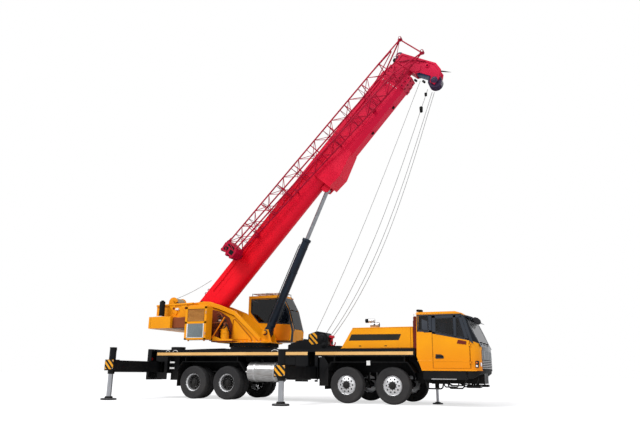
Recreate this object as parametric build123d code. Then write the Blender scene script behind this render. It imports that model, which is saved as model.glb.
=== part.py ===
from build123d import *
import math
import os

# A four-axle truck crane standing on its outriggers, with its telescopic boom raised.
# Millimetres. +X is forward, +Y is the driver's left, +Z is up.
# The origin is on the ground, midway between the counterweight's tail and the front bumper.

os.makedirs("parts", exist_ok=True)


# ---- driving dimensions ------------------------------------------------------------------

overall_length = 12300.0      # counterweight tail to front bumper
body_width = 2750.0           # deck, cab and outrigger housings
half_width = body_width / 2
front_end = overall_length / 2
tail_radius = 3950.0          # counterweight tail about the slewing axis
slew_x = tail_radius - front_end
running_gap = 0.3             # radial gap of pins and shafts
slide_gap = 0.5               # gap of wear pads and sliding faces
plate = 30.0                  # common plate thickness

deck_top = 1675.0
deck_thick = 60.0
deck_bottom = deck_top - deck_thick
valance_bottom = 1440.0
valance_thick = 50.0

girder_half = 425.0
girder_bottom = 950.0
drop_top = 1020.0             # frame under the cab
drop_bottom = 640.0
drop_start = 3980.0

cab_rear = 4200.0
cab_bottom = 1020.0
cab_roof = 2750.0
cab_wall = 50.0
cab_corner = 350.0            # plan radius of the cab's front corners

tyre_radius = 560.0
tyre_width = 300.0
bead_radius = 262.0
rim_wall = 10.0
front_track = 2300.0
twin_centre_y = 1040.0
twin_pitch = 340.0
axle_z = tyre_radius
axle_x = {1: 3400.0, 2: 1900.0, 3: -2470.0, 4: -3840.0}

kingpin_y = 930.0
kingpin_radius = 25.0
stub_radius = 60.0

pivot_back = 1820.0           # boom's foot pin behind the slewing axis
boom_pivot_x = slew_x - pivot_back
boom_pivot_z = 3195.0
boom_angle = 47.8             # degrees above level
pivot_radius = 75.0
cheek_inner = 360.0           # turntable side plates, inner faces
cheek_thick = 40.0
cheek_outer = cheek_inner + cheek_thick

boom_width = 580.0
boom_height = 975.0
boom_rise = 97.5              # the section's middle above the foot pin's line
boom_wall = 14.0
section_step = 52.0           # each section is this much smaller than the last
boom_tail = 150.0             # boom behind its foot pin
base_tip = 10950.0            # front of the base section, along the boom from the foot pin
tip_step = 180.0              # each inner section's front ahead of the last
eye_s = 6360.0                # lift cylinder's pin on the boom: along the boom
eye_n = -580.0                # and below the boom's centre line

cylinder_base_x = slew_x + 560.0
cylinder_base_z = 2310.0
barrel_radius = 145.0
rod_radius = 75.0
barrel_length = 3680.0        # base pin to gland
eye_radius = 105.0
eye_half = 110.0
eye_pin_radius = 45.0

beam_width = 300.0
beam_pitch = 350.0            # right and left beams lie side by side
jack_reach = 3500.0           # jack from the centre line
beam_length = jack_reach - 1000.0
jack_radius = 110.0
jack_top = {"rear": 1680.0, "front": 1570.0}
beam_travel = 2220.0          # the beams draw in until the jacks stand inside the body's width
end_box = 190.0               # half length of the box that joins a beam to its jack
end_box_inner = 140.0         # its inner face, from the jack's axis
end_box_top = 20.0            # its top above the beam
leg_radius = 80.0
pad_radius = 250.0
pad_thick = 50.0


# ---- shapes ------------------------------------------------------------------------------

def block(x0, x1, y0, y1, z0, z1):
    """A box between two corners."""
    return Pos((x0 + x1) / 2, (y0 + y1) / 2, (z0 + z1) / 2) * Box(x1 - x0, y1 - y0, z1 - z0)


def prism_y(points, y0, y1):
    """An XZ outline extruded across the vehicle."""
    outline = Polyline(*[(x, y0, z) for x, z in points], close=True)
    return extrude(make_face(outline), amount=y1 - y0, dir=(0, 1, 0))


def prism_z(points, z0, z1):
    """An XY outline extruded upwards."""
    outline = Polyline(*[(x, y, z0) for x, y in points], close=True)
    return extrude(make_face(outline), amount=z1 - z0, dir=(0, 0, 1))


def rod_between(start, end, radius):
    """A round bar between two points."""
    start, end = Vector(*start), Vector(*end)
    path = end - start
    return Plane(origin=(start + end) / 2, z_dir=path) * Cylinder(radius, path.length)


def bar_x(x0, x1, y, z, radius):
    return rod_between((x0, y, z), (x1, y, z), radius)


def bar_y(x, y0, y1, z, radius):
    return rod_between((x, y0, z), (x, y1, z), radius)


def bar_z(x, y, z0, z1, radius):
    return rod_between((x, y, z0), (x, y, z1), radius)


def turned_y(profile, x, z):
    """A closed profile of (y, radius) points turned about a line across the vehicle."""
    outline = Polyline(*[(0, y, r) for y, r in profile], close=True)
    return Pos(x, 0, z) * revolve(make_face(outline), axis=Axis.Y)


def save(node, *solids):
    """Write one named piece; several solids are like pieces that don't touch."""
    shape = solids[0] if len(solids) == 1 else Compound(children=list(solids))
    shape.label = node
    export_step(shape, f"parts/{node}.step")


# ---- carrier: frame, deck and outrigger housings -------------------------------------------

# row: name, x of the right beam, step to the left beam, beam bottom, beam height, housing x, housing z
outrigger_rows = [
    ("rear", -5600.0, beam_pitch, 880.0, 380.0, (-5830.0, -4980.0), (640.0, deck_bottom)),
    ("front", 720.0, -beam_pitch, 745.0, 362.0, (150.0, 940.0), (640.0, valance_bottom)),
]
tunnel_wall = 25.0
park_y = jack_reach - beam_travel - end_box_inner - 10   # inner side of a drawn-in jack's pocket
pocket_side = beam_pitch - beam_width / 2 - slide_gap    # reaches to the other beam's tunnel
barrel_side = jack_radius + 10


def housing(right_x, left_step, z0, height, x_range, z_range):
    """Two tunnels side by side across the frame, with a plate at each end."""
    low = min(right_x, right_x + left_step) - beam_width / 2 - tunnel_wall
    high = max(right_x, right_x + left_step) + beam_width / 2 + tunnel_wall
    body = block(low, high, -half_width, half_width, z0 - tunnel_wall, z0 + height + tunnel_wall)
    for side in (-1, 1):
        y0, y1 = sorted((side * half_width, side * (half_width - plate)))
        body += block(x_range[0], x_range[1], y0, y1, z_range[0], z_range[1])
    for x in (right_x, right_x + left_step):
        body -= block(
            x - beam_width / 2 - slide_gap, x + beam_width / 2 + slide_gap,
            -half_width - 1, half_width + 1, z0 - slide_gap, z0 + height + slide_gap,
        )
    # pockets that the jacks draw into: as wide as the end box, narrower above it
    for side, x in ((-1, right_x), (1, right_x + left_step)):
        y0, y1 = sorted((side * park_y, side * (half_width + 1)))
        body -= block(x - pocket_side, x + pocket_side, y0, y1, z_range[0] + 60, z0 + height + end_box_top + 8)
        body -= block(x - barrel_side, x + barrel_side, y0, y1, z_range[0] - 1, z_range[1] + 1)
        # the pocket's outer wall, stepped out from the tunnel's
        outward = -math.copysign(1, left_step) * (1 if side < 0 else -1)
        edge = x_range[0] if outward < 0 else x_range[1]
        y_step = side * (park_y - 60)
        for x_in, y_out in ((x + outward * pocket_side, side * half_width),
                            (x + outward * (beam_width / 2 + tunnel_wall - 1), side * park_y)):
            body += block(*sorted((edge, x_in)), *sorted((y_step, y_out)), z0 - tunnel_wall, z0 + height + tunnel_wall)
    return body


housings = [housing(*row[1:]) for row in outrigger_rows]
rear_housing_x = outrigger_rows[0][5]
girder_rear = -5600.0 + beam_pitch + beam_width / 2 + tunnel_wall

girder = block(girder_rear, cab_rear - 50, -girder_half, girder_half, girder_bottom, deck_bottom)
girder += block(drop_start, front_end - 120, -girder_half, girder_half, drop_bottom, drop_top)
front_low = outrigger_rows[1][1] - beam_pitch - beam_width / 2 - tunnel_wall
front_high = outrigger_rows[1][1] + beam_width / 2 + tunnel_wall
girder -= block(
    front_low, front_high, -girder_half - 1, girder_half + 1,
    outrigger_rows[1][3] - tunnel_wall, outrigger_rows[1][3] + outrigger_rows[1][4] + tunnel_wall,
)
front_jack_x = 4490.0
front_jack_barrel = 65.0
front_leg_radius = 40.0
front_barrel_bottom = 450.0
girder += bar_z(front_jack_x, 0, front_barrel_bottom, drop_bottom + 1, front_jack_barrel)
girder -= bar_z(front_jack_x, 0, front_barrel_bottom - 1, drop_top - 20, front_leg_radius + running_gap)
# a low cross bar on two hangers under the nose
girder += block(front_end - 500, front_end - 300, -350, 350, 530, 600)
for y in (-300, 260):
    girder += block(front_end - 480, front_end - 420, y, y + 40, 590, drop_bottom + 1)
save("chassis_frame", girder)

# the deck plate, its side valances and the cross webs that carry it
web_x = [-4700.0, -3150.0, -1750.0, -300.0, 1080.0, 2650.0, 4000.0]
deck = block(rear_housing_x[0], cab_rear - 50, -half_width, half_width, deck_bottom, deck_top)
for side in (-1, 1):
    y0, y1 = sorted((side * half_width, side * (half_width - valance_thick)))
    deck += block(rear_housing_x[1], cab_rear - 50, y0, y1, valance_bottom, deck_bottom)
    y0, y1 = sorted((side * girder_half, side * (half_width - valance_thick)))
    for x in web_x:
        deck += block(x - 20, x + 20, y0, y1, valance_bottom + 20, deck_bottom)
# notches for the drawn-in jacks: through the plate at the rear, in the valance alone at the front
for row_name, right_x, left_step, *_ in outrigger_rows:
    for side, x in ((-1, right_x), (1, right_x + left_step)):
        y0, y1 = sorted((side * park_y, side * (half_width + 1)))
        top = min(jack_top[row_name] + 8, deck_top + 1)
        deck -= block(x - barrel_side, x + barrel_side, y0, y1, valance_bottom - 1, top)
save("deck", deck)
for row, shape in zip(outrigger_rows, housings):
    save(f"{row[0]}_outrigger_housing", shape)

# mudguards: a flat-topped arch over each pair of axles, hung from the webs and valance
guard_top = 2 * tyre_radius + 150.0
guard_thick = 20.0
# row: rear foot, rear shoulder, front shoulder, front foot
guard_rows = [
    (axle_x[4] - tyre_radius - 160, axle_x[4] - tyre_radius + 70,
     axle_x[3] + tyre_radius - 80, axle_x[3] + tyre_radius + 150),
    (axle_x[2] - tyre_radius - 190, axle_x[2] - tyre_radius + 60,
     axle_x[1] + tyre_radius - 60, axle_x[1] + tyre_radius + 160),
]
guards = []
for rear_foot, rear_top, front_top, front_foot in guard_rows:
    outer = [
        (rear_foot, 950), (rear_top, guard_top), (front_top, guard_top), (front_foot, 950),
        (front_foot - guard_thick, 950), (front_top - guard_thick / 2, guard_top - guard_thick),
        (rear_top + guard_thick / 2, guard_top - guard_thick), (rear_foot + guard_thick, 950),
    ]
    for side in (-1, 1):
        y0, y1 = sorted((side * 700, side * (half_width - 10)))
        guard = prism_y(outer, y0, y1)
        for x in (rear_top + 100, front_top - 100):
            y0, y1 = sorted((side * 760, side * (half_width - valance_thick)))
            guard += block(x - 15, x + 15, y0, y1, guard_top - 1, deck_bottom)
        guards.append(guard)
save("mudguards", *guards)

# front bumper, wrapped round under the cab
def plan_outline(inset, rear):
    """The carrier's plan at the front: a bowed face between two rounded corners."""
    front, side = front_end - inset, half_width - inset
    bow_x, bow_y = front - 75, side - 325
    with BuildSketch() as plan:
        with BuildLine():
            Polyline((front - cab_corner, -side), (rear, -side), (rear, side), (front - cab_corner, side))
            ThreePointArc((front - cab_corner, side), (front - 165, side - 120), (bow_x, bow_y))
            ThreePointArc((bow_x, bow_y), (front, 0), (bow_x, -bow_y))
            ThreePointArc((bow_x, -bow_y), (front - 165, 120 - side), (front - cab_corner, -side))
        make_face()
    return plan.sketch


bumper_z = (790.0, cab_bottom)
bumper_thick = 80.0
bumper = Pos(0, 0, bumper_z[0]) * extrude(plan_outline(10, 5700), amount=bumper_z[1] - bumper_z[0])
bumper -= Pos(0, 0, bumper_z[0] - 1) * extrude(
    plan_outline(10 + bumper_thick, 5600), amount=bumper_z[1] - bumper_z[0] + 2
)
# its lower edge is cut away to the front
bumper -= prism_y([(front_end - 350, bumper_z[0] - 10), (front_end + 10, bumper_z[0] - 10),
                   (front_end + 10, bumper_z[1] - 10), (front_end - 20, bumper_z[1] - 20)], -half_width, half_width)
save("front_bumper", bumper)

# ---- carrier: axles, tank, lockers ----------------------------------------------------------

def front_axle(x):
    """A beam with an eye at each end for the kingpin, under two leaf springs."""
    body = block(x - 80, x + 80, -kingpin_y + 60, kingpin_y - 60, axle_z - 90, axle_z + 90)
    for side in (-1, 1):
        body += bar_z(x, side * kingpin_y, axle_z - 90, axle_z + 90, 55)
        body += block(x - 55, x + 55, *sorted((side * kingpin_y, side * (kingpin_y - 90))),
                      axle_z - 90, axle_z + 90)
        y0, y1 = sorted((side * 325, side * 415))
        body += block(x - 480, x + 480, y0, y1, axle_z + 130, axle_z + 190)
        body += block(x - 100, x + 100, y0, y1, axle_z + 60, axle_z + 190)
        for end in (-450, 450):
            body += block(x + end - 30, x + end + 30, y0, y1, axle_z + 180, girder_bottom)
    for side in (-1, 1):
        body -= bar_z(x, side * kingpin_y, axle_z - 100, axle_z + 100, kingpin_radius + running_gap)
    return body


def rear_axle(x):
    """A tube with its differential in the middle, under two springs."""
    tube_end = twin_centre_y - twin_pitch / 2 - tyre_width / 2 - 20
    body = bar_y(x, -tube_end, tube_end, axle_z, 90)
    body += Pos(x, 0, axle_z) * Sphere(240)
    for side in (-1, 1):
        y0, y1 = sorted((side * (tube_end - 30), side * 1240))
        body += bar_y(x, y0, y1, axle_z, stub_radius)
        y0, y1 = sorted((side * 325, side * 415))
        body += block(x - 90, x + 90, y0, y1, axle_z + 40, girder_bottom)
        body += block(x - 420, x + 420, y0, y1, girder_bottom - 110, girder_bottom - 40)
    return body


save("front_axles", front_axle(axle_x[1]), front_axle(axle_x[2]))
save("rear_axles", rear_axle(axle_x[3]), rear_axle(axle_x[4]))

tank_x = (-1677.0, -436.0)
tank_radius = 330.0
tank_y = -1035.0
tank_z = 935.0
tank = bar_x(tank_x[0], tank_x[1], tank_y, tank_z, tank_radius)
for x in (tank_x[0] + 240, tank_x[1] - 240):
    tank += block(x - 40, x + 40, tank_y, -girder_half, tank_z + 120, tank_z + 240)
save("fuel_tank", tank)

locker = block(-1600, -500, 800, half_width - 15, 660, valance_bottom)
locker += block(-1500, -600, girder_half, 801, 1100, 1300)
save("tool_locker", locker)

# ---- carrier: engine, hood and exhaust -------------------------------------------------------

hood_half = 1250.0
hood_wall = 40.0
hood_rear_bottom = 1700.0
hood_rear_top = 2106.0
hood_front = 4070.0
hood_top = 2330.0
hood_slope = (hood_rear_top - hood_rear_bottom) / (hood_top - deck_top)


def hood_volume(inset, base):
    low = hood_rear_bottom + hood_slope * (base - deck_top) + inset
    high = hood_rear_bottom + hood_slope * (hood_top - inset - deck_top) + inset
    points = [(low, base), (high, hood_top - inset), (hood_front - inset, hood_top - inset),
              (hood_front - inset, base)]
    return prism_y(points, -hood_half + inset, hood_half - inset)


save("engine_hood", hood_volume(0, deck_top) - hood_volume(hood_wall, deck_top - 100))
save("engine_block", block(2200, 3400, -420, 420, deck_top, 2240))
# a muffler lying on the hood, with an elbow at its rear end
exhaust_y = -1000.0
exhaust = bar_x(2640, 2920, exhaust_y, hood_top + 90, 85)
exhaust += block(2660, 2900, exhaust_y - 60, exhaust_y + 60, hood_top, hood_top + 60)
exhaust += bar_z(2710, exhaust_y, hood_top + 100, hood_top + 225, 45)
exhaust += bar_x(2560, 2770, exhaust_y, hood_top + 230, 60)
save("exhaust_stack", exhaust)

# ---- carrier: driver's cab and doors ---------------------------------------------------------

cab_profile = [
    (cab_rear, 1460), (cab_rear + 150, cab_bottom), (front_end - 70, cab_bottom),
    (front_end - 10, 1100), (front_end, 1620), (front_end - 70, 1720),
    (front_end - 430, 2500), (front_end - 540, 2690), (front_end - 740, cab_roof),
    (cab_rear + 30, cab_roof),
]
inner_profile = [
    (cab_rear + cab_wall, 1475), (cab_rear + 190, cab_bottom + 60), (front_end - 125, cab_bottom + 60),
    (front_end - 62, 1110), (front_end - 52, 1610), (front_end - 118, 1700),
    (front_end - 478, 2485), (front_end - 575, 2645), (front_end - 750, cab_roof - cab_wall),
    (cab_rear + 30 + cab_wall, cab_roof - cab_wall),
]


def cab_volume(profile, inset):
    plan = Pos(0, 0, 900) * extrude(plan_outline(inset, 4000), amount=2000)
    return prism_y(profile, -half_width, half_width) & plan


cab = cab_volume(cab_profile, 0) - cab_volume(inner_profile, cab_wall)

# door outline: rear edge upright, front edge following the windscreen pillar
door_rear, door_front = 4690.0, 5785.0
door_low, door_high = 1090.0, 2640.0
door_outline = [
    (door_rear, door_low), (door_front, door_low), (door_front, 1870), (5560, door_high),
    (door_rear, door_high),
]
door_gap = 8.0
opening_outline = [
    (door_rear - door_gap, door_low - door_gap), (door_front + 15, door_low - door_gap),
    (door_front + 15, 1872), (5560 + 12, door_high + door_gap), (door_rear - door_gap, door_high + door_gap),
]
hinge_x = door_front + 10
hinge_y = half_width
hinge_radius = 9.0
door_lug = 20.0
# height of each hinge on the door
hinge_heights = [1250.0, 1750.0]

for side in (-1, 1):
    y0, y1 = sorted((side * (half_width + 1), side * (half_width - cab_wall - 20)))
    cab -= prism_y(opening_outline, y0, y1)
    # rear quarter window
    window = [(4270, 2200), (4590, 2170), (4590, 2640), (4290, 2640)]
    cab -= prism_y(window, y0, y1)
    # hinge pins, carried on lugs from the pillar, with room for the door's lug between them
    for z in hinge_heights:
        y0, y1 = sorted((side * (half_width + 11), side * (half_width - cab_wall - 20)))
        cab -= block(hinge_x - 20, hinge_x + door_lug + 8, y0, y1, z - 30, z + 30)
        for dz in (-45, 30):
            y0, y1 = sorted((side * (half_width - 40), side * (half_width + 10)))
            cab += block(hinge_x - 12, hinge_x + 50, y0, y1, z + dz, z + dz + 15)
        cab += bar_z(hinge_x, side * hinge_y, z - 40, z + 40, hinge_radius)
# windscreen and rear window openings
windscreen = [(front_end + 50, 1790), (front_end - 250, 1790), (front_end - 700, 2500), (front_end - 350, 2500)]
cab -= prism_y(windscreen, -1060, 1060)
cab -= block(cab_rear - 50, cab_rear + 140, -900, 900, 2000, 2600)
save("driver_cab", cab)


def driver_door(side):
    """A door the thickness of the cab wall, with its window cut and two hinge lugs."""
    outer, inner = side * half_width, side * (half_width - cab_wall)
    door = prism_y(door_outline, *sorted((outer, inner)))
    y0, y1 = sorted((outer + side, inner - side))
    door -= prism_y([(4800, 2130), (5340, 2020), (5340, 2560), (4800, 2560)], y0, y1)
    door -= prism_y([(5420, 2000), (5665, 1950), (5480, 2560), (5420, 2560)], y0, y1)
    for z in hinge_heights:
        # pocket for the body's pin and lugs, then the door's own lug between them
        door -= block(door_front - 22, door_front + 1, y0, y1, z - 55, z + 55)
        lug = block(door_front - 23, hinge_x, *sorted((outer, side * (hinge_y - door_lug))), z - 25, z + 25)
        lug += bar_z(hinge_x, side * hinge_y, z - 25, z + 25, door_lug)
        door += lug - bar_z(hinge_x, side * hinge_y, z - 40, z + 40, hinge_radius + running_gap)
    return door


save("driver_door_right", driver_door(-1))
save("driver_door_left", driver_door(1))

seat_z = cab_bottom + 60
interior = [block(5640, 5960, -1100, 1100, seat_z, 1760)]
for side in (-1, 1):
    seat = block(4650, 5150, side * 640 - 250, side * 640 + 250, seat_z, 1480)
    seat += prism_y([(4560, 1480), (4680, 1400), (4720, 2050), (4620, 2080)], side * 640 - 240, side * 640 + 240)
    interior.append(seat)
save("cab_interior", *interior)

# black sills with the entry steps, under the cab
sills = []
for side in (-1, 1):
    y0, y1 = sorted((side * 1000, side * (half_width - 15)))
    sills.append(block(4380, 5640, y0, y1, 760, cab_bottom))
save("cab_sills", *sills)

# ---- carrier: slewing ring and stowed hook block ----------------------------------------------

ring_top = 1790.0
ring = bar_z(slew_x, 0, deck_top, ring_top, 860) - bar_z(slew_x, 0, deck_top - 1, ring_top + 1, 640)
save("slewing_ring", ring)

hook_outline = [(-420, deck_top), (-420, 1830), (20, 1985), (330, 2015), (345, 2180), (650, 2280), (980, 2220),
                (1070, 2060), (1060, deck_top)]
hook_block = prism_y(hook_outline, -800, -360)
# slots for the sheaves, open at the top
for y in (-710, -580, -450):
    hook_block -= prism_y([(420, 1960), (420, 2400), (1000, 2400), (940, 2000)], y - 30, y + 30)
save("hook_block", hook_block)

# ---- wheels, knuckles and steering -------------------------------------------------------------

def tyre_profile(y):
    """(y, radius) outline of a tyre centred at y."""
    half = tyre_width / 2
    return [
        (y - half + 45, bead_radius), (y - half, 330), (y - half, 470), (y - half + 22, 540),
        (y - half + 60, tyre_radius), (y + half - 60, tyre_radius), (y + half - 22, 540),
        (y + half, 470), (y + half, 330), (y + half - 45, bead_radius),
    ]


def rim_profile(y, flange):
    """A rim's well, seated in the tyre's bead."""
    radius = bead_radius - running_gap
    return [
        (y - flange, radius), (y + flange, radius),
        (y + flange, radius - rim_wall), (y - flange, radius - rim_wall),
    ]


def single_wheel(x, side):
    centre = side * front_track / 2
    tyre = turned_y(tyre_profile(centre), x, axle_z)
    rim = turned_y(rim_profile(centre, 125), x, axle_z)
    # (distance outboard of the wheel's centre, radius): dished disc and hub
    disc = [(60, 255), (110, 215), (118, 150), (145, 105), (148, 0), (30, 0), (30, 95), (95, 110), (95, 200), (45, 255)]
    rim += turned_y([(centre + side * y, r) for y, r in disc], x, axle_z)
    y0, y1 = sorted((centre + side * 0, centre + side * 125))
    rim -= bar_y(x, y0, y1, axle_z, stub_radius + running_gap)
    return tyre, rim


def twin_wheel(x, side):
    pair = []
    tyres = []
    for offset in (-twin_pitch / 2, twin_pitch / 2):
        centre = side * (twin_centre_y + offset)
        tyres.append(turned_y(tyre_profile(centre), x, axle_z))
        pair.append(turned_y(rim_profile(centre, 150), x, axle_z))
    # (distance outboard of the twin's centre, radius): the joining ring, deep disc and hub
    disc = [(-25, 258), (25, 258), (25, 150), (190, 130), (205, 60), (205, 0), (-80, 0), (-80, 130), (-10, 150), (-25, 160)]
    rim = turned_y([(side * (twin_centre_y + y), r) for y, r in disc], x, axle_z)
    for ring_shape in pair:
        rim += ring_shape
    y0, y1 = sorted((side * (twin_centre_y - 100), side * 1241))
    rim -= bar_y(x, y0, y1, axle_z, stub_radius + running_gap)
    return (*tyres, rim)


def knuckle(x, side):
    """A yoke round the axle's eye, its kingpin, and the stub that carries the wheel."""
    y = side * kingpin_y
    web0, web1 = sorted((side * (kingpin_y + 62), side * (kingpin_y + 95)))
    body = block(x - 55, x + 55, web0, web1, axle_z - 135, axle_z + 135)
    for z0, z1 in ((axle_z - 135, axle_z - 95), (axle_z + 95, axle_z + 135)):
        body += block(x - 45, x + 45, *sorted((side * (kingpin_y - 40), side * (kingpin_y + 70))), z0, z1)
    body += bar_z(x, y, axle_z - 135, axle_z + 135, kingpin_radius)
    body += bar_y(x, *sorted((side * (kingpin_y + 80), side * (front_track / 2 + 124))), axle_z, stub_radius)
    return body


sides = {"right": -1, "left": 1}
for number in (1, 2):
    for name, side in sides.items():
        save(f"knuckle_{number}_{name}", knuckle(axle_x[number], side))
        save(f"wheel_{number}_{name}", *single_wheel(axle_x[number], side))
for number in (3, 4):
    for name, side in sides.items():
        save(f"wheel_{number}_{name}", *twin_wheel(axle_x[number], side))

# ---- outrigger beams and jacks -------------------------------------------------------------------

leg_top = {"rear": 1080.0, "front": 970.0}
for row_name, right_x, left_step, beam_z, beam_height, _, _ in outrigger_rows:
    for name, side in sides.items():
        x = right_x if side < 0 else right_x + left_step
        y = side * jack_reach
        inner = side * (jack_reach - beam_length)
        beam = block(x - beam_width / 2, x + beam_width / 2, *sorted((inner, y)), beam_z, beam_z + beam_height)
        # lightening: the beam is a box of plate, open at its inner end
        beam -= block(
            x - beam_width / 2 + plate, x + beam_width / 2 - plate,
            *sorted((inner - side, side * (jack_reach - 260))), beam_z + plate, beam_z + beam_height - plate,
        )
        beam += block(x - end_box, x + end_box, *sorted((side * (jack_reach - end_box_inner), side * (jack_reach + 125))),
                      beam_z + 50, beam_z + beam_height + end_box_top)
        beam += bar_z(x, y, beam_z - 60, jack_top[row_name], jack_radius)
        beam -= bar_z(x, y, beam_z - 61, jack_top[row_name] - plate, leg_radius + running_gap)
        save(f"outrigger_beam_{row_name}_{name}", beam)
        leg = bar_z(x, y, pad_thick - 1, leg_top[row_name], leg_radius)
        leg += bar_z(x, y, 0, pad_thick, pad_radius)
        leg += bar_z(x, y, pad_thick, pad_thick + 60, leg_radius + 35)
        save(f"outrigger_leg_{row_name}_{name}", leg)

front_leg = bar_z(front_jack_x, 0, 39, 620, front_leg_radius) + bar_z(front_jack_x, 0, 0, 40, 160)
save("front_jack_leg", front_leg)

# ---- superstructure: turntable -------------------------------------------------------------------

# it is drawn with its slewing axis here, and then moved with the axis
drawn_slew_x = -2200.0
pivot_x = drawn_slew_x - pivot_back
foot_x = drawn_slew_x - slew_x + cylinder_base_x
drawn_tail_x = drawn_slew_x - tail_radius


def with_slew(shape):
    return Pos(slew_x - drawn_slew_x, 0, 0) * shape


base_bottom = ring_top + slide_gap
base_top = 1960.0
cheek_profile = [
    (-6000, 3430), (-4620, 3475), (-4220, 3505), (-3950, 3485), (-3460, 3335), (-2820, 3095),
    (-2190, 2555), (-1690, 2105), (-1450, 2000), (-1450, base_top - 1), (-3150, base_top - 1),
    (-3500, 2050), (-4300, 2420), (-5050, 2420), (-5050, 2895), (-6000, 2895),
]
turntable = bar_z(drawn_slew_x, 0, base_bottom, 1935, 820) - bar_z(drawn_slew_x, 0, base_bottom - 1, 1936, 690)
turntable += prism_z([(-3250, -860), (-1300, -520), (-1300, 520), (-1600, 860), (-3250, 860)], 1930, base_top)
turntable -= bar_z(drawn_slew_x, 0, 1929, base_top + 1, 420)
for side in (-1, 1):
    turntable += prism_y(cheek_profile, *sorted((side * cheek_inner, side * cheek_outer)))
    turntable += bar_y(pivot_x, *sorted((side * cheek_inner, side * cheek_outer)), boom_pivot_z, 180)
    # lugs beside the lift cylinder's foot
    y0, y1 = sorted((side * 165, side * 215))
    lug = [(foot_x - 230, base_top - 1), (foot_x - 110, cylinder_base_z + 110),
           (foot_x + 110, cylinder_base_z + 110), (foot_x + 260, base_top - 1)]
    turntable += prism_y(lug, y0, y1)
    y0, y1 = sorted((side * 160, side * (cheek_inner + 1)))
    turntable += bar_y(foot_x, y0, y1, cylinder_base_z, 60)
# cross ties: tail, under the winches, and behind the slewing ring
turntable += block(-6000, -5960, -cheek_inner - 1, cheek_inner + 1, 2895, 3300)
turntable += block(-5050, -4400, -cheek_inner - 1, cheek_inner + 1, 2420, 2460)
turntable += bar_y(pivot_x, -cheek_inner - 1, cheek_inner + 1, boom_pivot_z, pivot_radius)
# the tail's outer frame: a plate outboard of each side plate, with cross plates at its ends
frame_y = (700.0, 740.0)
frame_outline = [(drawn_tail_x, 2895), (drawn_tail_x, 3395), (-4460, 3440), (-4460, 2950), (-5050, 2895)]
for side in (-1, 1):
    turntable += prism_y(frame_outline, *sorted((side * frame_y[0], side * frame_y[1])))
    y0, y1 = sorted((side * (cheek_outer - 1), side * (frame_y[0] + 1)))
    turntable += block(-6000, -5960, y0, y1, 2895, 3380)
    turntable += block(-4500, -4460, y0, y1, 2960, 3430)
    # lugs that carry the upper winch
    winch_lug = [(-5900, 3425), (-5820, 3600), (-5680, 3600), (-5600, 3430)]
    turntable += prism_y(winch_lug, *sorted((side * cheek_inner, side * cheek_outer)))
save("turntable", with_slew(turntable))

# counterweight: a slab with its tail corners cut off
weight_z = (2465.0, 2895.0)
weight_front = -5090.0
tail_cut = (70.0, 250.0)
weight = prism_z([
    (weight_front, -hood_half), (weight_front, hood_half), (drawn_tail_x + tail_cut[0], hood_half),
    (drawn_tail_x, hood_half - tail_cut[1]), (drawn_tail_x, tail_cut[1] - hood_half),
    (drawn_tail_x + tail_cut[0], -hood_half),
], *weight_z)
save("counterweight", with_slew(weight))

# winch drums on their shafts between the side plates; row: x, z, drum radius
winch_rows = [(-5750.0, 3530.0, 150.0), (-4950.0, 3200.0, 200.0)]
winches = []
for x, z, radius in winch_rows:
    drum = bar_y(x, -260, 260, z, radius)
    for y in (-290, 260):
        drum += bar_y(x, y, y + 30, z, radius + 60)
    drum += bar_y(x, -cheek_inner, cheek_inner, z, 55)
    winches.append(drum)
save("winches", *[with_slew(drum) for drum in winches])

# a cooler cabinet held off the side plate by a narrower duct
cabinet = block(-4420, -3490, -hood_half, -900, 2030, 3215)
cabinet += block(-4380, -3900, -901, -cheek_outer, 2500, 3050)
save("machinery_cabinet", with_slew(cabinet))
slew_drive = bar_z(-3080, -640, base_top, 2420, 150) + bar_z(-3080, -640, 2420, 2530, 90)
save("slew_drive", with_slew(slew_drive))

# ---- superstructure: operator's cab --------------------------------------------------------------

room_y = (430.0, 1290.0)
room_wall = 45.0
room_profile = [(-2750, 2000), (-2750, 3740), (-1330, 3740), (-1015, 3170), (-800, 2400), (-830, 2000)]
room_inner = [(-2705, 2060), (-2705, 3695), (-1358, 3695), (-1062, 3155), (-850, 2395), (-876, 2060)]
room = prism_y(room_profile, *room_y) - prism_y(room_inner, room_y[0] + room_wall, room_y[1] - room_wall)
# windows: right side, front screen, rear and roof
side_window = [(-2640, 3640), (-2640, 3110), (-2280, 2720), (-940, 2640), (-905, 2700), (-1085, 3160), (-1350, 3640)]
room -= prism_y(side_window, room_y[0] - 1, room_y[0] + room_wall + 5)
screen_inner = [(-1360, 3600), (-1180, 3600), (-900, 3180), (-700, 2500), (-920, 2500), (-1110, 3140)]
room -= prism_y(screen_inner, room_y[0] + 90, room_y[1] - 90)
room -= block(-2760, -2690, room_y[0] + 90, room_y[1] - 90, 2800, 3600)
# side doorway and the rail that the sliding door hangs on
slide_low, slide_high = 2090.0, 3650.0
slide_front, slide_rear = -1300.0, -2150.0
room -= block(slide_rear + 60, slide_front - 60, room_y[1] - room_wall - 5, room_y[1] + 1, 2120, 3600)
front_light = [(-1245, 3440), (-1245, 2700), (-930, 2700), (-1085, 3150)]
room -= prism_y(front_light, room_y[1] - room_wall - 5, room_y[1] + 1)
rail_y = (room_y[1], room_y[1] + 60)
room += block(-2740, -1290, rail_y[0] - 1, rail_y[1], 3680, 3700)
room += block(-2740, -1290, rail_y[1] - 8, rail_y[1], 3655, 3681)
# foot that stands on the turntable's plate, and the arm from the side plate
room += block(-2700, -1500, cheek_outer, room_y[0] + 1, 2040, 2140)
room += block(-2700, -1700, room_y[0] + 20, 860, base_top, 2001)
save("operator_cab", with_slew(room))

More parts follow.
